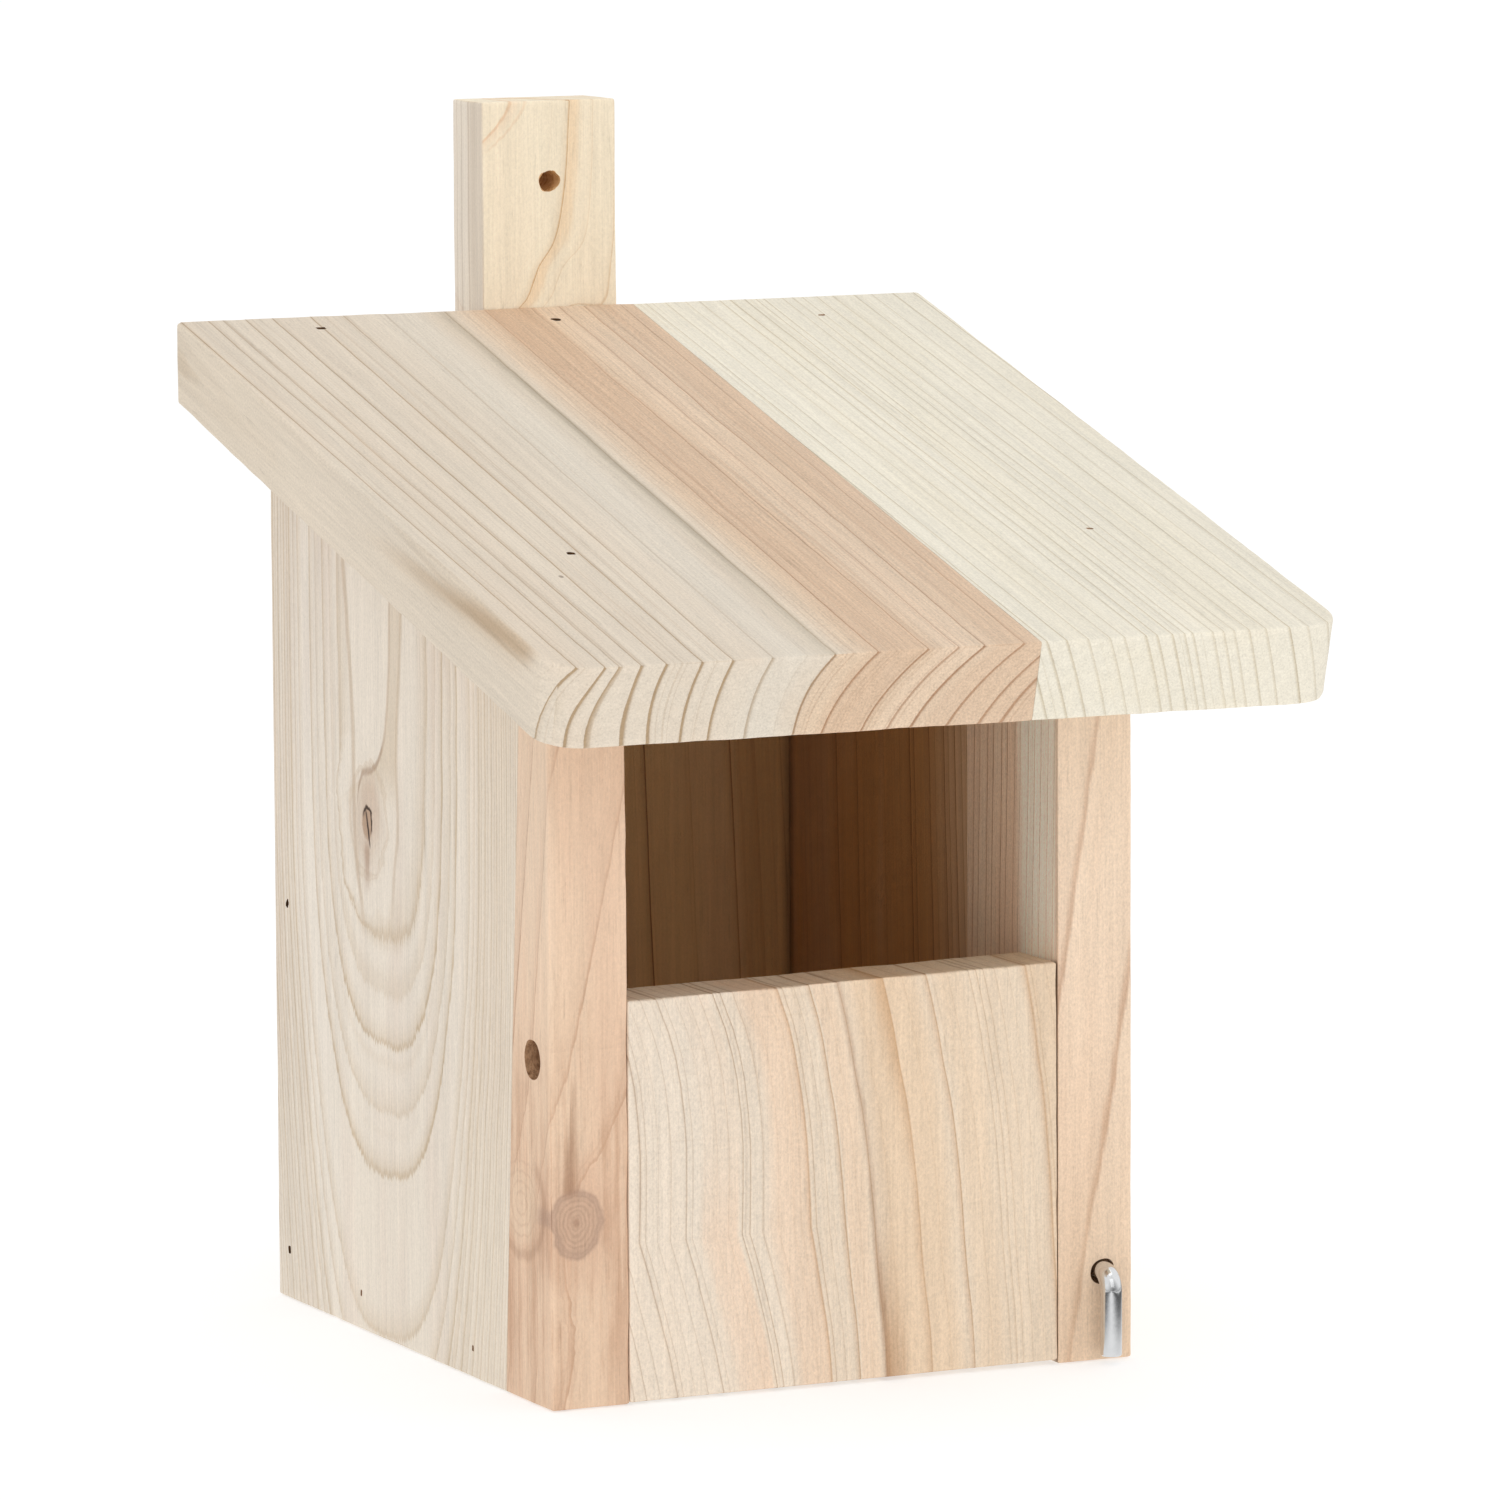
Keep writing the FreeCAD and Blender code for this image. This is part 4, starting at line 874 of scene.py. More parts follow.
def rf_paint(t, q, c):
    inner = t.step(XR0 + 0.8, XR0 + 0.1, q["a"])
    c = t.lit(c, inner * t.step(YF + 0.5, YF + 2.0, q["b"]) * 0.1 + 1.0)
    front = t.step(YF + 1.2, YF + 0.3, q["b"])
    c = t.mix(front * 0.3, c, lin((238, 212, 185)))
    c = t.mix(front * t.step(60.0, 120.0, q["l"]) * 0.3, c, lin((242, 222, 200)))
    c = t.mix(front * t.step(70.0, 16.0, q["l"]) * 0.4, c, lin((226, 198, 168)))
    c = t.mix(t.step(XR1 - 0.8, XR1 - 0.1, q["a"]) * 0.35, c, lin((238, 213, 186)))
    # painted shade in the joint beside the flap: a broken dark brown strip on the inner face near the front
    joint_shade = inner * t.step(96.5, 95.0, q["l"]) * t.step(YF + 0.1, YF + 0.4, q["b"]) * t.step(YF + 5.0, YF + 0.9, q["b"])
    breaks = t.step(-0.16, 0.06, t.noise(q["l"] * 0.07, 3.0, 0.0, 2.0))
    c = t.mix(joint_shade * (breaks * 0.4 + 0.3), c, lin((96, 68, 48)))
    return c


mat_right_front = wood("wood_right_front", Z, X, Y, (0, 0, 0), RF_RINGS,
                       (50, 125), (239, 214, 188), (186, 140, 106), radius=rf_radius, heart=(250, 240, 222),
                       heart_late=(214, 196, 166), heart_mask=rf_sap, tint=(236, 200, 170), tint_mix=0.5, seed=8.4, wobble=0.3,
                       wobble_len=90, fibre=0.16, line=0.4, tail=1.3, line_mix=0.8, tail_mix=0.2, faint=0.18, paint=rf_paint, grits=2.2)

# ------------------------------------------------------------------ back panel, floor
back = board("back", [[[(x, 83.95, 0.0), (x, 83.95, top_z(83.95))], [(x, YB, 0.0), (x, YB, top_z(YB))]]
                      for x in (XL1, XR0)], (111.0, 19.5, 218.0), {None: 0.4}, seed=31)
floor_board = board("floor", [[[(x, y, 0.0), (x, y, 19.5)] for y in (-45.15, 83.95)] for x in (XL1, XR0)],
                    (111.0, 129.1, 19.5), {None: 0.5}, seed=32, grain=1)
BACK_LINES = {-50: 0.5, -38: 0.4, -27: 0.7, -15: 0.4, -4: 0.6, 8: 0.2, 14.8: 1.1, 27: 0.3, 38.3: 1.2, 45: 0.4, 52: 0.6}


def back_paint(t, q, c):
    drifts = t.noise(q["a"] * 0.06 + 3.4, q["b"] * 0.06 + 2.0, q["l"] * 0.009, 2.0, 0.6)
    c = t.mix(t.step(-0.08, 0.2, drifts) * q["heart"] * 0.4, c, lin((208, 160, 106)))
    c = t.mix(t.step(97.0, 101.0, q["r"]) * q["heart"] * 0.5, c, lin((188, 138, 84)))
    # painted shade: the inner face dark brown towards the corner with the right side
    return t.mix(t.step(51.5, 54.2, q["a"]) * q["heart"] * 0.55, c, lin((110, 72, 42)))


# the back panel's inner face is brown heart, darkened in part as painted shade of the inside; its outer face stays pale
mat_back = wood("wood_back", Z, X, Y, (0, 0, 0), [60 + x for x in BACK_LINES], (0, 130), (235, 211, 182), (184, 142, 104),
                radius=lambda t, q: q["a"] + 60.0 + (q["l"] - 130.0) * 0.045 + (q["b"] - 84.0) * 0.4, heart=(220, 178, 126), heart_late=(152, 102, 58),
                heart_mask=lambda t, q: t.step(93.0, 86.5, q["b"]), tint=(230, 200, 168), tint_mix=0.3, seed=3.4, wobble=0.5, wobble_len=120,
                line=0.5, tail=3.0, tail_mix=0.3, faint=0.16, weights=list(BACK_LINES.values()), paint=back_paint)
mat_floor = wood("wood_floor", Y, X, Z, (0, 0, 0), [28, 34, 40, 45, 51, 58, 64, 71, 78, 86, 93, 101], (20, 110),
                 (226, 202, 170), (184, 146, 108), (8.0, -46.0), (0.02, 0.05), tint=(222, 192, 158), seed=9.9, wobble=0.3,
                 wobble_len=90, line=0.4, tail=1.8)

# ------------------------------------------------------------------ front flap
flap = board("flap", [[[(-56.35, y, 0.3), (-56.35, y, 94.2)] for y in (YF, -45.55)],
                      [[(54.3, y, 0.9), (54.0, y, 95.9)] for y in (YF, -45.55)]], (110.6, 18.0, 94.5),
             {None: 0.6, (0, 0, 1): 0.45, (2, 0, 0): 0.5, (2, 1, 0): 0.25}, seed=41, step=1.6,
             ragged={(0, 0, 1): 0.6, (0, 1, 1): 0.4, (2, 1, 0): 0.8}, grain=2)
FL_LINES = {-72: 0.6, -69: 0.9, -65.5: 0.4, -61: 1.1, -59.6: 0.7, -56.5: 0.35, -53.3: 0.6, -49.2: 1.1, -47.7: 0.5, -44.6: 0.3, -41.5: 0.35, -38.5: 0.25,
            -34.8: 1.0, -33.0: 0.9, -29.8: 0.4, -26: 0.3, -22.5: 0.25, -18.5: 1.0, -17.3: 0.6, -14.4: 0.35, -10.5: 0.95, -7: 0.3, -3.3: 0.8,
            1: 0.3, 8.4: 1.2, 13.5: 0.3, 19.7: 1.0, 25.2: 0.4, 30.9: 0.6, 32.7: 0.65, 34.6: 0.6, 37.6: 0.4, 41: 0.25, 45.9: 1.0, 46.9: 0.6, 51: 0.4}


def fl_radius(t, q):
    """Lines that run down to the right: with a kink on the left, evenly on the right."""
    z = q["l"]
    left = t.curve(z, [(0, 17), (10, 14.9), (20, 12.3), (30, 9.6), (37.5, 7.3), (48, 7.6), (58, 7.7), (66, 7.2), (74, 6.3), (80, 5.1), (86, 3.4),
                       (92, 1.0), (100, -2)], 0, 100, -5, 20)
    right = t.curve(z, [(0, 13.2), (14, 12.2), (22, 11.2), (30, 10.4), (40, 9.7), (53, 8.4), (65, 6.7), (74, 4.8), (84, 3), (100, -1)],
                    0, 100, -5, 20, "AUTO")
    w = t.step(-28.0, 6.0, q["a"])
    q["s"] = q["a"] - (left * (1.0 - w) + right * w * (1.0 - t.step(28.0, 58.0, q["a"]) * 0.3))
    return q["s"] + 100.0


def fl_paint(t, q, c):
    s = q["s"]
    z = q["l"]
    wav = t.noise(z * 0.02, 1.0, q["a"] * 0.02, 1.0) * 3.0
    fray = t.noise(q["a"] * 0.9, q["b"] * 0.9, z * 0.03, 3.0, 0.6) * 3.0
    # warm zones between the lines
    warm = t.step(-47.0, -43.0, s + fray) * t.step(-35.5, -37.0, s + wav) * (t.step(62.0, 34.0, z) * 0.4 + 0.14)
    warm = warm + t.step(-31.0, -26.0, s + wav) * t.step(-18.4, -18.8, s) * 0.46
    warm = warm + t.step(-10.2, -9.8, s) * t.step(-3.0, -6.0, s + wav) * 0.4
    c = t.mix(warm, c, lin((240, 206, 176)))
    c = t.mix(t.step(-3.0, 2.0, s + wav) * t.step(19.7, 14.0, s + wav) * 0.5, c, lin((232, 201, 168)))
    c = t.mix(t.step(20.0, 23.0, s + wav) * t.step(31.0, 27.0, s + wav) * 0.35, c, lin((238, 210, 180)))
    c = t.mix(t.step(44.5, 45.9, s) * 0.4, c, lin((228, 196, 162)))
    c = t.mix(t.step(-36.0, 6.0, s) * 0.26, c, lin((226, 196, 158)))
    for at, wide in ((8.4, 2.6), (19.7, 2.2), (45.9, 3.0), (-18.5, 1.6), (-10.5, 1.6)):
        c = t.mix(t.step(at - wide, at - 0.1, s) * t.step(at + 0.3, at, s) * 0.3, c, lin((196, 152, 112)))
    c = t.mix(t.step(-32.0, -52.0, s) * 0.3, c, lin((238, 228, 214)))
    # a brown streak from the top edge to the bottom, where it widens to the right
    low = t.step(42.0, 2.0, z)
    core = t.step(1.5, 0.0, abs(s + 3.3 + fray * 0.6))
    c = t.mix(core * (low * 0.35 + 0.36), c, lin((158, 118, 90)))
    side = t.step(-4.5, -2.6, s + fray * 0.5) * t.step(4.4, -2.2, s + fray * 1.3)
    c = t.mix(side * (low * 0.62 + 0.12), c, lin((186, 146, 108)))
    # and a brown drift down from the top edge beside the next line
    drift = t.step(3.0, 7.6, s + fray) * t.step(8.6, 8.3, s)
    c = t.mix(drift * t.step(40.0, 92.0, z) * 0.5, c, lin((206, 164, 120)))
    # tracks of the planer across the grain, with rows of small dents
    chatter = t.noise(q["a"] * 0.02, 4.0, z * 0.9, 2.0, 0.7)
    c = t.mix(t.step(0.1, 0.24, chatter) * 0.12, c, lin((206, 178, 146)))
    dots = t.step(0.08, 0.2, t.noise(q["a"] * 0.8, 6.0, 1.0, 2.0, 0.6))
    row = t.step(0.35, 0.1, abs(z - 82.3)) * t.step(7.0, 5.0, abs(q["a"] + 15.5))
    row = row + t.step(0.35, 0.1, abs(z - 75.8 - q["a"] * 0.02)) * t.step(24.0, 20.0, abs(q["a"] + 25.0))
    return t.mix(row * dots * 0.5, c, lin((150, 112, 86)))


mat_flap = wood("wood_flap", Z, X, Y, (0, 0, 0), [100 + x for x in FL_LINES], (25, 157), (236, 221, 202), (176, 144, 112), radius=fl_radius,
                tint=(236, 213, 188), tint_mix=0.4, seed=6.1, wobble=0.15, wobble_len=60, fibre=0.1, line=0.34, tail=1.1, line_mix=0.66,
                tail_mix=0.16, faint=0.2, paint=fl_paint, end_dark=0.08, weights=list(FL_LINES.values()), grits=2.1)

# ------------------------------------------------------------------ hanging batten
batten = board("batten", [[[(x, y, 0.0), (x, y, 291.7)] for y in (YB, 121.75)] for x in (-19.0, 17.0)],
               (36.0, 18.3, 291.7), {None: 0.7, (2, 1, 0): 0.9, (0, 0, 1): 0.5}, seed=51, step=1.6, ragged={(0, 0, 1): 0.3})
SCREW_Z = (30.0, 105.0, 180.0)
carve(batten, [bore((-1.0, YB, 271.9), (0, -1, 0), 2.5, -20.0, 2.0, 6, 0.05)]
      + [bore((-1.0, 121.75, z), (0, 1, 0), 3.6, -2.7, 2.0, 60 + i, 0.03) for i, z in enumerate(SCREW_Z)])
carve(batten, [bore((-1.0, YB - 0.05, 271.9), (0, -1, 0), 2.72, -0.7, 2.0, 8, 0.08)])


def bt_radius(t, q):
    """Arches that close towards the lower left: straight near the top, turning left at the roof."""
    z = q["l"]
    turn = t.curve(z, [(0, 30), (120, 26), (200, 22), (236, 16.4), (244, 11.2), (250, 8.8), (260, 3.3), (275, 1.0), (292, 0)], 0, 292, 0, 40, "AUTO")
    k = t.step(17.0, 1.0, q["a"]) * 0.85 + 0.15
    return q["a"] + 19.0 + turn * k + (q["b"] - YB) * 0.7 + 60.0


def bt_paint(t, q, c):
    # warm band beside the main line, frayed on its outer side
    fray = t.noise(q["a"] * 0.7, q["b"] * 0.7, q["l"] * 0.05, 3.0, 0.6) * 3.0
    r = q["r"]
    band = t.step(83.7, 84.0, r) * t.step(88.0, 84.6, r + fray)
    c = t.mix(band * 0.5, c, lin((240, 204, 160)))
    # a small arch at the upper left corner, with a second fainter one
    drop = (291.7 - q["l"]) * 0.1
    arch = q["a"] + 19.0 + t.m("POWER", t.m("MAXIMUM", drop, 0.001), 1.5) * 7.6
    line = t.step(0.75, 0.1, abs(arch - 7.6 + fray * 0.3)) + t.step(0.8, 0.1, abs(arch - 11.6 + fray * 0.6)) * 0.5
    front = t.step(-19.0, -18.8, q["a"])
    c = t.mix(line * front * t.step(278.0, 282.0, q["l"]) * 0.5, c, lin((222, 176, 130)))
    blush = t.step(12.0, 7.8, arch + fray) * t.step(7.0, 7.8, arch) * t.step(256.0, 282.0, q["l"])
    c = t.mix(blush * front * 0.3, c, lin((240, 204, 172)))
    # the left edge is greyer, with upright lines
    left = t.step(-18.5, -19.0, q["a"])
    c = t.mix(left * 0.75, c, lin((222, 211, 199)))
    y = q["b"] - YB + t.noise(q["l"] * 0.012, 1.0, 0.0, 2.0) * 3.0
    c = t.mix(left * t.step(10.5, 6.0, y) * 0.5, c, lin((206, 191, 172)))
    stripes = t.step(0.7, 0.2, abs(y - 8.7)) + t.step(0.6, 0.1, abs(y - 13.0)) * 0.6 + t.step(0.5, 0.1, abs(y - 15.8)) * 0.6 + t.step(2.5, 0.2, abs(y - 6.0)) * 0.25
    return t.mix(left * stripes * 0.42, c, lin((168, 146, 124)))


mat_batten = wood("wood_batten", Z, X, Y, (0, 0, 0), [60 + x for x in (-6, 0.5, 23.8, 30, 36, 40, 45, 51, 56)], (50, 125),
                  YELLOW, YELLOW_LATE, radius=bt_radius, tint=(248, 228, 200), seed=1.9, wobble=0.2, wobble_len=60, fibre=0.16, line=0.3,
                  tail=1.4, line_mix=0.7, tail_mix=0.2, faint=0.12, paint=bt_paint, weights=[0.5, 0.2, 1.2, 0.35, 0.7, 0.6, 0.6, 0.6, 0.6])

# ------------------------------------------------------------------ metal
def metal(name, colour, rough, stain, stain_mix, scale):
    t = Tree(name)
    P = t.place()
    x, y, z = (t.dot(P, d) for d in (X, Y, Z))
    n = t.noise(x * scale, y * scale, z * scale, 3.0, 0.6)
    fine = t.noise(x * 6.0, y * 1.2, z * 1.2, 2.0)
    t.plug(t.bsdf.inputs["Base Color"], t.mix(t.step(-0.1, 0.3, n) * stain_mix, lin(colour), lin(stain)))
    t.bsdf.inputs["Metallic"].default_value = 1.0
    t.plug(t.bsdf.inputs["Roughness"], n * 0.14 + fine * 0.05 + rough)
    bm = t.new("ShaderNodeBump")
    bm.inputs["Strength"].default_value = 0.12
    bm.inputs["Distance"].default_value = 0.0002
    t.plug(bm.inputs["Height"], n + fine * 0.4)
    t.nt.links.new(bm.outputs[0], t.bsdf.inputs["Normal"])
    return t.mat


mat_zinc = metal("zinc_wire", (222, 223, 224), 0.1, (196, 198, 200), 0.4, 0.35)
mat_screw = metal("zinc_screw", (200, 198, 188), 0.34, (160, 150, 128), 0.5, 0.6)
mat_nail = metal("dark_nail", (58, 48, 42), 0.55, (44, 30, 22), 0.7, 1.2)


def bored(name, colour, deep):
    """Rough torn wood inside a drilled or driven hole; its colours are darker in part as painted shade of the hole."""
    t = Tree(name)
    P = t.place()
    x, y, z = (t.dot(P, d) for d in (X, Y, Z))
    n = t.noise(x * 0.9, y * 0.9, z * 0.35, 3.0, 0.7)
    t.plug(t.bsdf.inputs["Base Color"], t.mix(t.step(-0.16, 0.2, n), lin(colour), lin(deep)))
    t.plug(t.bsdf.inputs["Roughness"], n * 0.2 + 0.8)
    t.bsdf.inputs["Specular IOR Level"].default_value = 0.1
    bm = t.new("ShaderNodeBump")
    bm.inputs["Strength"].default_value = 0.6
    bm.inputs["Distance"].default_value = 0.0006
    t.plug(bm.inputs["Height"], n)
    t.nt.links.new(bm.outputs[0], t.bsdf.inputs["Normal"])
    return t.mat


mat_bored = bored("bored_wood", (206, 166, 130), (150, 112, 82))
mat_bored_pale = bored("bored_batten", (238, 200, 148), (206, 158, 102))
# the brad slots' walls near black-brown: painted shade of the slot over torn wood
mat_brad_hole = bored("brad_hole", (112, 82, 58), (66, 46, 32))
mat_brad_faint = bored("brad_slot", (200, 168, 138), (158, 126, 100))


def line_hole(obj, slot, centre, n, radius, deep):
    """Gives the faces inside a hole, which opens along n at centre, the material of that slot."""
    me = obj.data
    k = len(me.polygons)
    c = np.empty(k * 3)
    me.polygons.foreach_get("center", c)
    d = c.reshape(-1, 3) / MM - np.array(centre, float)
    along = d @ np.array(n, float)
    off = np.linalg.norm(d - along[:, None] * np.array(n, float), axis=1)
    tilt = np.empty(k * 3)
    me.polygons.foreach_get("normal", tilt)
    wall = (np.abs(tilt.reshape(-1, 3) @ np.array(n, float)) < 0.6) | (along < -0.5)
    index = np.empty(k, np.int32)
    me.polygons.foreach_get("material_index", index)
    index[(off < radius) & (along < -0.02) & (along > -deep) & wall] = slot
    me.polygons.foreach_set("material_index", index)


def sweep(path, radius, count=36, tip=0.35):
    """A round wire along path, with both ends turned off square and slightly broken at the edge."""
    path = np.array(path, float)
    tan = np.gradient(path, axis=0)
    tan /= np.linalg.norm(tan, axis=1)[:, None]
    side = np.array((1.0, 0, 0))
    vs, fs = [], []
    ring = [(math.cos(a), math.sin(a)) for a in np.linspace(0, 2 * math.pi, count, endpoint=False)]
    stations = [(path[0], tan[0], radius - tip), (path[0] + tan[0] * tip, tan[0], radius)]
    stations += [(p, d, radius) for p, d in zip(path[1:-1], tan[1:-1])]
    stations += [(path[-1] - tan[-1] * tip, tan[-1], radius), (path[-1], tan[-1], radius - tip)]
    for p, d, r in stations:
        v = np.cross(d, side)
        vs += [p + r * (c * side + s * v) for c, s in ring]
    n = len(stations)
    for i in range(n - 1):
        for k in range(count):
            a, b = i * count + k, i * count + (k + 1) % count
            fs.append([a, b, b + count, a + count])
    fs += [list(range(count)), list(range((n - 1) * count, n * count))]
    return vs, fs


def hook_path():
    pts = [(HOOK_X, y, HOOK_Z) for y in np.linspace(YF + 29.0, YF - 0.3, 18)]
    cy, cz = YF - 0.3, HOOK_Z - 4.2
    pts += [(HOOK_X, cy - 4.2 * math.sin(a), cz + 4.2 * math.cos(a)) for a in np.linspace(0, math.pi / 2, 14)[1:]]
    pts += [(HOOK_X, YF - 4.5, z) for z in np.linspace(cz, HOOK_Z - 19.5, 14)[1:]]
    return pts


hook = mesh_object("hook", [sweep(hook_path(), 2.55)])


def lathe(profile, origin, axis, count=40):
    """A turned shape: profile points (along axis, radius), closed on the axis at both ends."""
    n = np.array(axis, float)
    u = np.array((0, 0, 1.0)) if abs(n[2]) < 0.5 else np.array((1.0, 0, 0))
    v = np.cross(n, u)
    o = np.array(origin, float)
    vs, fs = [o + profile[0][0] * n], []
    rings = profile[1:-1]
    for h, r in rings:
        vs += [o + h * n + r * (math.cos(a) * u + math.sin(a) * v) for a in np.linspace(0, 2 * math.pi, count, endpoint=False)]
    vs.append(o + profile[-1][0] * n)
    for k in range(count):
        fs.append([0, 1 + (k + 1) % count, 1 + k])
        for i in range(len(rings) - 1):
            a, b = 1 + i * count + k, 1 + i * count + (k + 1) % count
            fs.append([a, b, b + count, a + count])
        a, b = 1 + (len(rings) - 1) * count + k, 1 + (len(rings) - 1) * count + (k + 1) % count
        fs.append([a, b, len(vs) - 1])
    return vs, fs


def cross_recess(origin, axis, size, deep, turn):
    """The two tapered bars of a cross drive, cut from the head's top at origin along -axis."""
    n = np.array(axis, float)
    u = np.array((0, 0, 1.0)) if abs(n[2]) < 0.5 else np.array((1.0, 0, 0))
    v = np.cross(n, u)
    cu, cv = math.cos(turn) * u + math.sin(turn) * v, -math.sin(turn) * u + math.cos(turn) * v
    w = size * 0.17
    arm = [(-size * 0.5, -w), (size * 0.5, -w), (size * 0.5, w), (-size * 0.5, w)]
    low = [(a * 0.55, b * 0.7) for a, b in arm]

    def taper(p, q):
        o = np.array(origin, float)
        lo = [o + a * p + b * q - deep * n for a, b in low]
        hi = [o + a * p + b * q + 0.5 * n for a, b in arm]
        return lo + hi, [[3, 2, 1, 0], [4, 5, 6, 7]] + [[i, (i + 1) % 4, 4 + (i + 1) % 4, 4 + i] for i in range(4)]
    return taper(cu, cv), taper(cv, -cu)


def screw(name, tip, head, axis, shank_r, head_r, head_t, turn, flush):
    """A wood screw from tip to head along axis: turned head with a cross drive, shank, tapered point."""
    length = float(np.dot(np.array(head) - np.array(tip), axis))
    if flush:
        prof = [(0, 0), (0.9, shank_r * 0.45), (4.0, shank_r * 0.95)]
        prof += [(length - head_t, shank_r), (length - 0.45, head_r), (length - 0.1, head_r), (length, head_r - 0.12), (length, 0)]
    else:
        prof = [(0, 0), (0.9, shank_r * 0.45), (4.0, shank_r * 0.95), (length - head_t, shank_r), (length - head_t, head_r)]
        prof += [(length - head_t * 0.55, head_r), (length - head_t * 0.3, head_r * 0.93), (length - head_t * 0.1, head_r * 0.72),
                 (length, head_r * 0.4), (length, 0)]
    obj = mesh_object(name, [lathe(prof, tip, axis)])
    for part in cross_recess(head, axis, head_r * 1.15, 1.5, turn):
        carve(obj, [part])
    return obj


pivots = [screw("pivot_left", (-33.15, PIVOT_Y, PIVOT_Z), (-67.15 - 2.6, PIVOT_Y, PIVOT_Z), (-1, 0, 0), 2.0, 4.0, 2.6, 0.4, False),
          screw("pivot_right", (31.15, PIVOT_Y, PIVOT_Z), (65.15 + 2.6, PIVOT_Y, PIVOT_Z), (1, 0, 0), 2.0, 4.0, 2.6, 1.1, False)]
batten_screws = [screw("batten_screw_%d" % (i + 1), (-1.0, 88.45, z), (-1.0, 121.45, z), (0, 1, 0), 1.75, 3.5, 2.6, 0.3 + i, True)
                 for i, z in enumerate(SCREW_Z)]


def brad(top, axis, seed):
    """A driven brad: rounded slot-shaped head on a square shank, 42 mm long."""
    n = np.array(axis, float)
    u, v = {2: ((1, 0, 0), (0, 1, 0)), 0: ((0, 1, 0), (0, 0, 1))}[int(np.argmax(np.abs(n)))]
    wide, tall = (0.9, 0.62) if abs(n[2]) > 0.5 else (0.65, 0.9)
    head = prism(round_outline(wide, tall, seed, 0.06, 20, 3.5), top, u, v, n, -1.2, 0.0, -0.05)
    shank = prism(round_outline(0.6, 0.55, seed + 1, 0.02, 16, 4.0), top, u, v, n, -42.0, -0.9)
    return [head, shank]


def nails(name, tops, axis, seed):
    parts = []
    for i, p in enumerate(tops):
        parts += brad(p, axis, seed + 3 * i)
    return mesh_object(name, parts)


SUNK = 0.8
nail_sets = {
    "roof_rear_nails": nails("nails_roof_rear", [(x, y, roof_top_z(y) - SUNK) for x, y in ROOF_NAILS_REAR], (0, 0, 1), 70),
    "roof_front_nails": nails("nails_roof_front", [(x, y, roof_top_z(y) - SUNK) for x, y in ROOF_NAILS_FRONT], (0, 0, 1), 80),
}
for key in ("left_back_nails", "left_floor_nails"):
    nail_sets[key] = nails("nails_" + key[:-6], [(XL0 + SUNK, y, z) for k, y, z in LEFT_NAILS if k == key], (-1, 0, 0), 90)
for key in ("right_back_nails", "right_floor_nails"):
    nail_sets[key] = nails("nails_" + key[:-6], [(XR1 - SUNK, y, z) for k, y, z in RIGHT_NAILS if k == key], (1, 0, 0), 95)

# ------------------------------------------------------------------ pieces ride their bodies
WOODEN = [
    (roof_left, "roof_left_stave", mat_roof_left, "box", "wood_pale"),
    (roof_right, "roof_right_stave", mat_roof_right, "box", "wood_pale"),
    (left_rear, "left_side_rear_stave", mat_left_rear, "box", "wood_pale"),
    (left_front, "left_side_front_stave", mat_left_front, "box", "wood_heart"),
    (right_rear, "right_side_rear_stave", mat_right_rear, "box", "wood_heart"),
    (right_front, "right_side_front_stave", mat_right_front, "box", "wood_heart"),
    (back, "back_panel", mat_back, "box", "wood_heart"),
    (floor_board, "floor_board", mat_floor, "box", "wood_pale"),
    (flap, "front_flap", mat_flap, "flap", "wood_pale"),
    (batten, "hanging_batten", mat_batten, "box", "wood_pale"),
]
for obj, node, mat, body, slot in WOODEN:
    obj.data.materials.clear()
    for m in (mat, mat_bored_pale if obj is batten else mat_bored, mat_brad_hole):
        obj.data.materials.append(m)
    if obj in (left_rear, roof_right):
        obj.data.materials.append(mat_brad_faint)
    if obj is left_front:
        line_hole(obj, 1, (XL0, PIVOT_Y, PIVOT_Z), (-1, 0, 0), 5.0, 19.0)
    if obj is right_front:
        line_hole(obj, 1, (XR1, PIVOT_Y, PIVOT_Z), (1, 0, 0), 5.0, 19.0)
        line_hole(obj, 1, (HOOK_X, YF, HOOK_Z), (0, -1, 0), 3.3, 30.0)
        line_hole(obj, 2, (XR1, RIGHT_NAILS[3][1], RIGHT_NAILS[3][2]), (1, 0, 0), 1.5, 1.5)
    if obj is batten:
        line_hole(obj, 1, (-1.0, YB, 271.9), (0, -1, 0), 3.0, 18.2)
    if obj is left_rear:
        for i, (_, y, z) in enumerate(LEFT_NAILS):
            line_hole(obj, 2 if i < 2 else 3, (XL0, y, z), (-1, 0, 0), 1.5, 1.5)
    if obj is right_rear:
        for _, y, z in RIGHT_NAILS[:3]:
            line_hole(obj, 2, (XR1, y, z), (1, 0, 0), 1.5, 1.5)
    if obj in (roof_left, roof_right):
        for x, y in ROOF_NAILS_REAR + ROOF_NAILS_FRONT:
            line_hole(obj, 2 if obj is roof_left else 3, (x, y, roof_top_z(y)), OUT_ROOF, 1.6, 1.6)
    shade(obj)
    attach(obj, body)
    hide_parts(node)

METAL = [(hook, "latch_hook", mat_zinc, "hook", "zinc_wire"),
         (pivots[0], "left_pivot_screw", mat_screw, "flap", "zinc_screw"),
         (pivots[1], "right_pivot_screw", mat_screw, "flap", "zinc_screw")]
METAL += [(o, "batten_screws", mat_screw, "box", "zinc_screw") for o in batten_screws]
METAL += [(o, node, mat_nail, "box", "dark_nail") for node, o in nail_sets.items()]
for obj, node, mat, body, slot in METAL:
    obj.data.materials.clear()
    obj.data.materials.append(mat)
    shade(obj, 32.0, False)
    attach(obj, body)
    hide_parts(node)

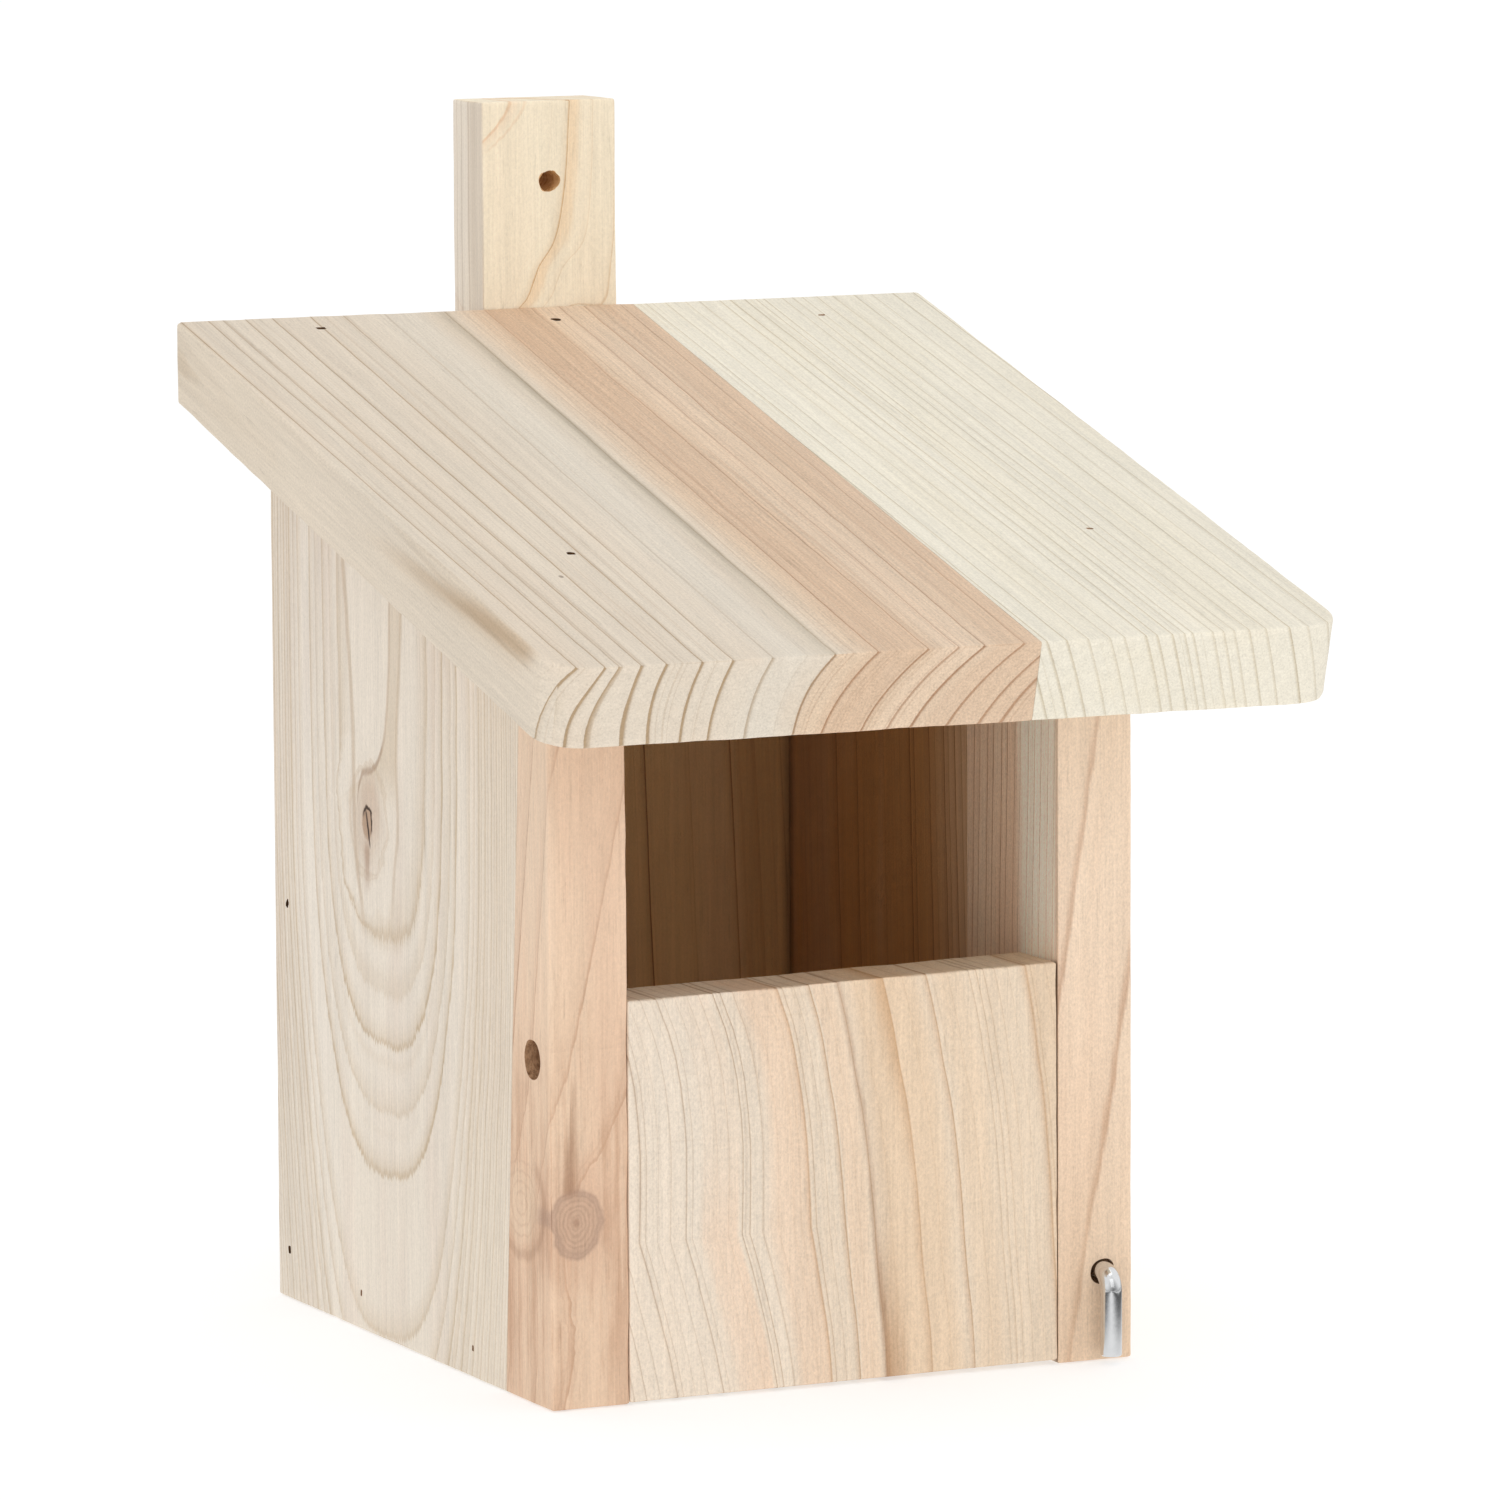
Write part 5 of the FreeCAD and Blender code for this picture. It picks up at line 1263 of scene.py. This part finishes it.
# ------------------------------------------------------------------ floor, light, camera
ground = mesh_object("ground", [([(-30000, -30000, -0.3), (30000, -30000, -0.3), (30000, 30000, -0.3), (-30000, 30000, -0.3)],
                                 [[0, 1, 2, 3]])])
mat_ground = bpy.data.materials.new("ground")
mat_ground.use_nodes = True
g = mat_ground.node_tree.nodes["Principled BSDF"]
g.inputs["Base Color"].default_value = (0.62, 0.62, 0.62, 1)
g.inputs["Roughness"].default_value = 0.9
g.inputs["Specular IOR Level"].default_value = 0.0
g.inputs["Emission Color"].default_value = (1, 1, 1, 1)
g.inputs["Emission Strength"].default_value = 0.5
gt = mat_ground.node_tree
# for glossy rays the floor glows in stripes across the hook's place instead of showing its own white: painted
# reflection bands for the zinc wire
ray, spot, along = gt.nodes.new("ShaderNodeLightPath"), gt.nodes.new("ShaderNodeTexCoord"), gt.nodes.new("ShaderNodeVectorMath")
along.operation = "DOT_PRODUCT"
along.inputs[1].default_value = (0.906, -0.422, 0.0)
gt.links.new(spot.outputs["Object"], along.inputs[0])


def ground_math(op, a, b, c=0.0):
    n = gt.nodes.new("ShaderNodeMath")
    n.operation = op
    for sock, v in zip(n.inputs, (a, b, c)):
        if isinstance(v, bpy.types.NodeSocket):
            gt.links.new(v, sock)
        else:
            sock.default_value = v
    return n.outputs[0]


strip = ground_math("COSINE", ground_math("MULTIPLY_ADD", along.outputs["Value"], 34.0, -34.0 * (0.906 * HOOK_X - 0.422 * (YF - 4.5)) * MM), 0.0)
reflection_stripes = gt.nodes.new("ShaderNodeEmission")
gt.links.new(ground_math("MULTIPLY_ADD", ground_math("MULTIPLY_ADD", strip, 0.5, 0.5), 0.86, 0.12), reflection_stripes.inputs["Strength"])
seen = gt.nodes.new("ShaderNodeMixShader")
gt.links.new(ray.outputs["Is Glossy Ray"], seen.inputs[0])
gt.links.new(g.outputs[0], seen.inputs[1])
gt.links.new(reflection_stripes.outputs[0], seen.inputs[2])
gt.links.new(seen.outputs[0], gt.nodes["Material Output"].inputs["Surface"])
ground.data.materials.append(mat_ground)

world = bpy.data.worlds.new("studio")
bpy.context.scene.world = world
world.use_nodes = True
bg = world.node_tree.nodes["Background"]
bg.inputs["Color"].default_value = (1.0, 1.0, 1.0, 1)
bg.inputs["Strength"].default_value = 0.86
wt = world.node_tree
path, place, split = wt.nodes.new("ShaderNodeLightPath"), wt.nodes.new("ShaderNodeTexCoord"), wt.nodes.new("ShaderNodeSeparateXYZ")
wt.links.new(place.outputs["Generated"], split.inputs[0])


def world_math(op, a, b):
    n = wt.nodes.new("ShaderNodeMath")
    n.operation = op
    for sock, v in zip(n.inputs, (a, b)):
        if isinstance(v, bpy.types.NodeSocket):
            wt.links.new(v, sock)
        else:
            sock.default_value = v
    return n.outputs[0]


sides = world_math("POWER", world_math("ABSOLUTE", split.outputs["X"], 0.0), 1.6)
height = world_math("MULTIPLY", world_math("MAXIMUM", split.outputs["Z"], 0.0), 0.9)
mirror = wt.nodes.new("ShaderNodeBackground")
mirror.inputs["Color"].default_value = (1.0, 1.0, 1.0, 1)
wt.links.new(world_math("MINIMUM", world_math("ADD", world_math("ADD", world_math("MULTIPLY", sides, 0.75), height), 0.16), 1.0),
             mirror.inputs["Strength"])
either = wt.nodes.new("ShaderNodeMixShader")
wt.links.new(path.outputs["Is Glossy Ray"], either.inputs[0])
wt.links.new(bg.outputs[0], either.inputs[1])
wt.links.new(mirror.outputs[0], either.inputs[2])
wt.links.new(either.outputs[0], wt.nodes["World Output"].inputs["Surface"])


def softbox(name, at, look, w, h, power):
    light = bpy.data.lights.new(name, "AREA")
    light.shape, light.size, light.size_y, light.energy = "RECTANGLE", w, h, power
    o = bpy.data.objects.new(name, light)
    bpy.context.scene.collection.objects.link(o)
    o.location = at
    o.rotation_euler = (Vector(look) - Vector(at)).to_track_quat("-Z", "Y").to_euler()
    return o


softbox("front_soft", (-0.3, -2.2, 1.3), (0, 0, 0.12), 1.6, 1.6, 4.0)
softbox("top_soft", (0.1, -0.5, 2.6), (0, 0, 0.15), 1.6, 1.6, 5.0)

cam = bpy.data.cameras.new("camera")
cam.sensor_fit, cam.sensor_width, cam.lens = "HORIZONTAL", 36.0, 220.131
cam.clip_start, cam.clip_end = 0.05, 300.0
cam_obj = bpy.data.objects.new("camera", cam)
bpy.context.scene.collection.objects.link(cam_obj)
right, down, fwd = (0.9063852, -0.4224207, -0.0051529), (-0.0570079, -0.1102174, -0.9922712), (0.4185880, 0.8996737, -0.1239808)
cam_obj.matrix_world = Matrix([[right[i], -down[i], -fwd[i], (-0.909765, -1.965196, 0.412620)[i]] for i in range(3)] + [[0, 0, 0, 1]])
bpy.context.scene.camera = cam_obj
bpy.context.scene.view_settings.view_transform = "Standard"
bpy.context.scene.view_settings.look = "None"
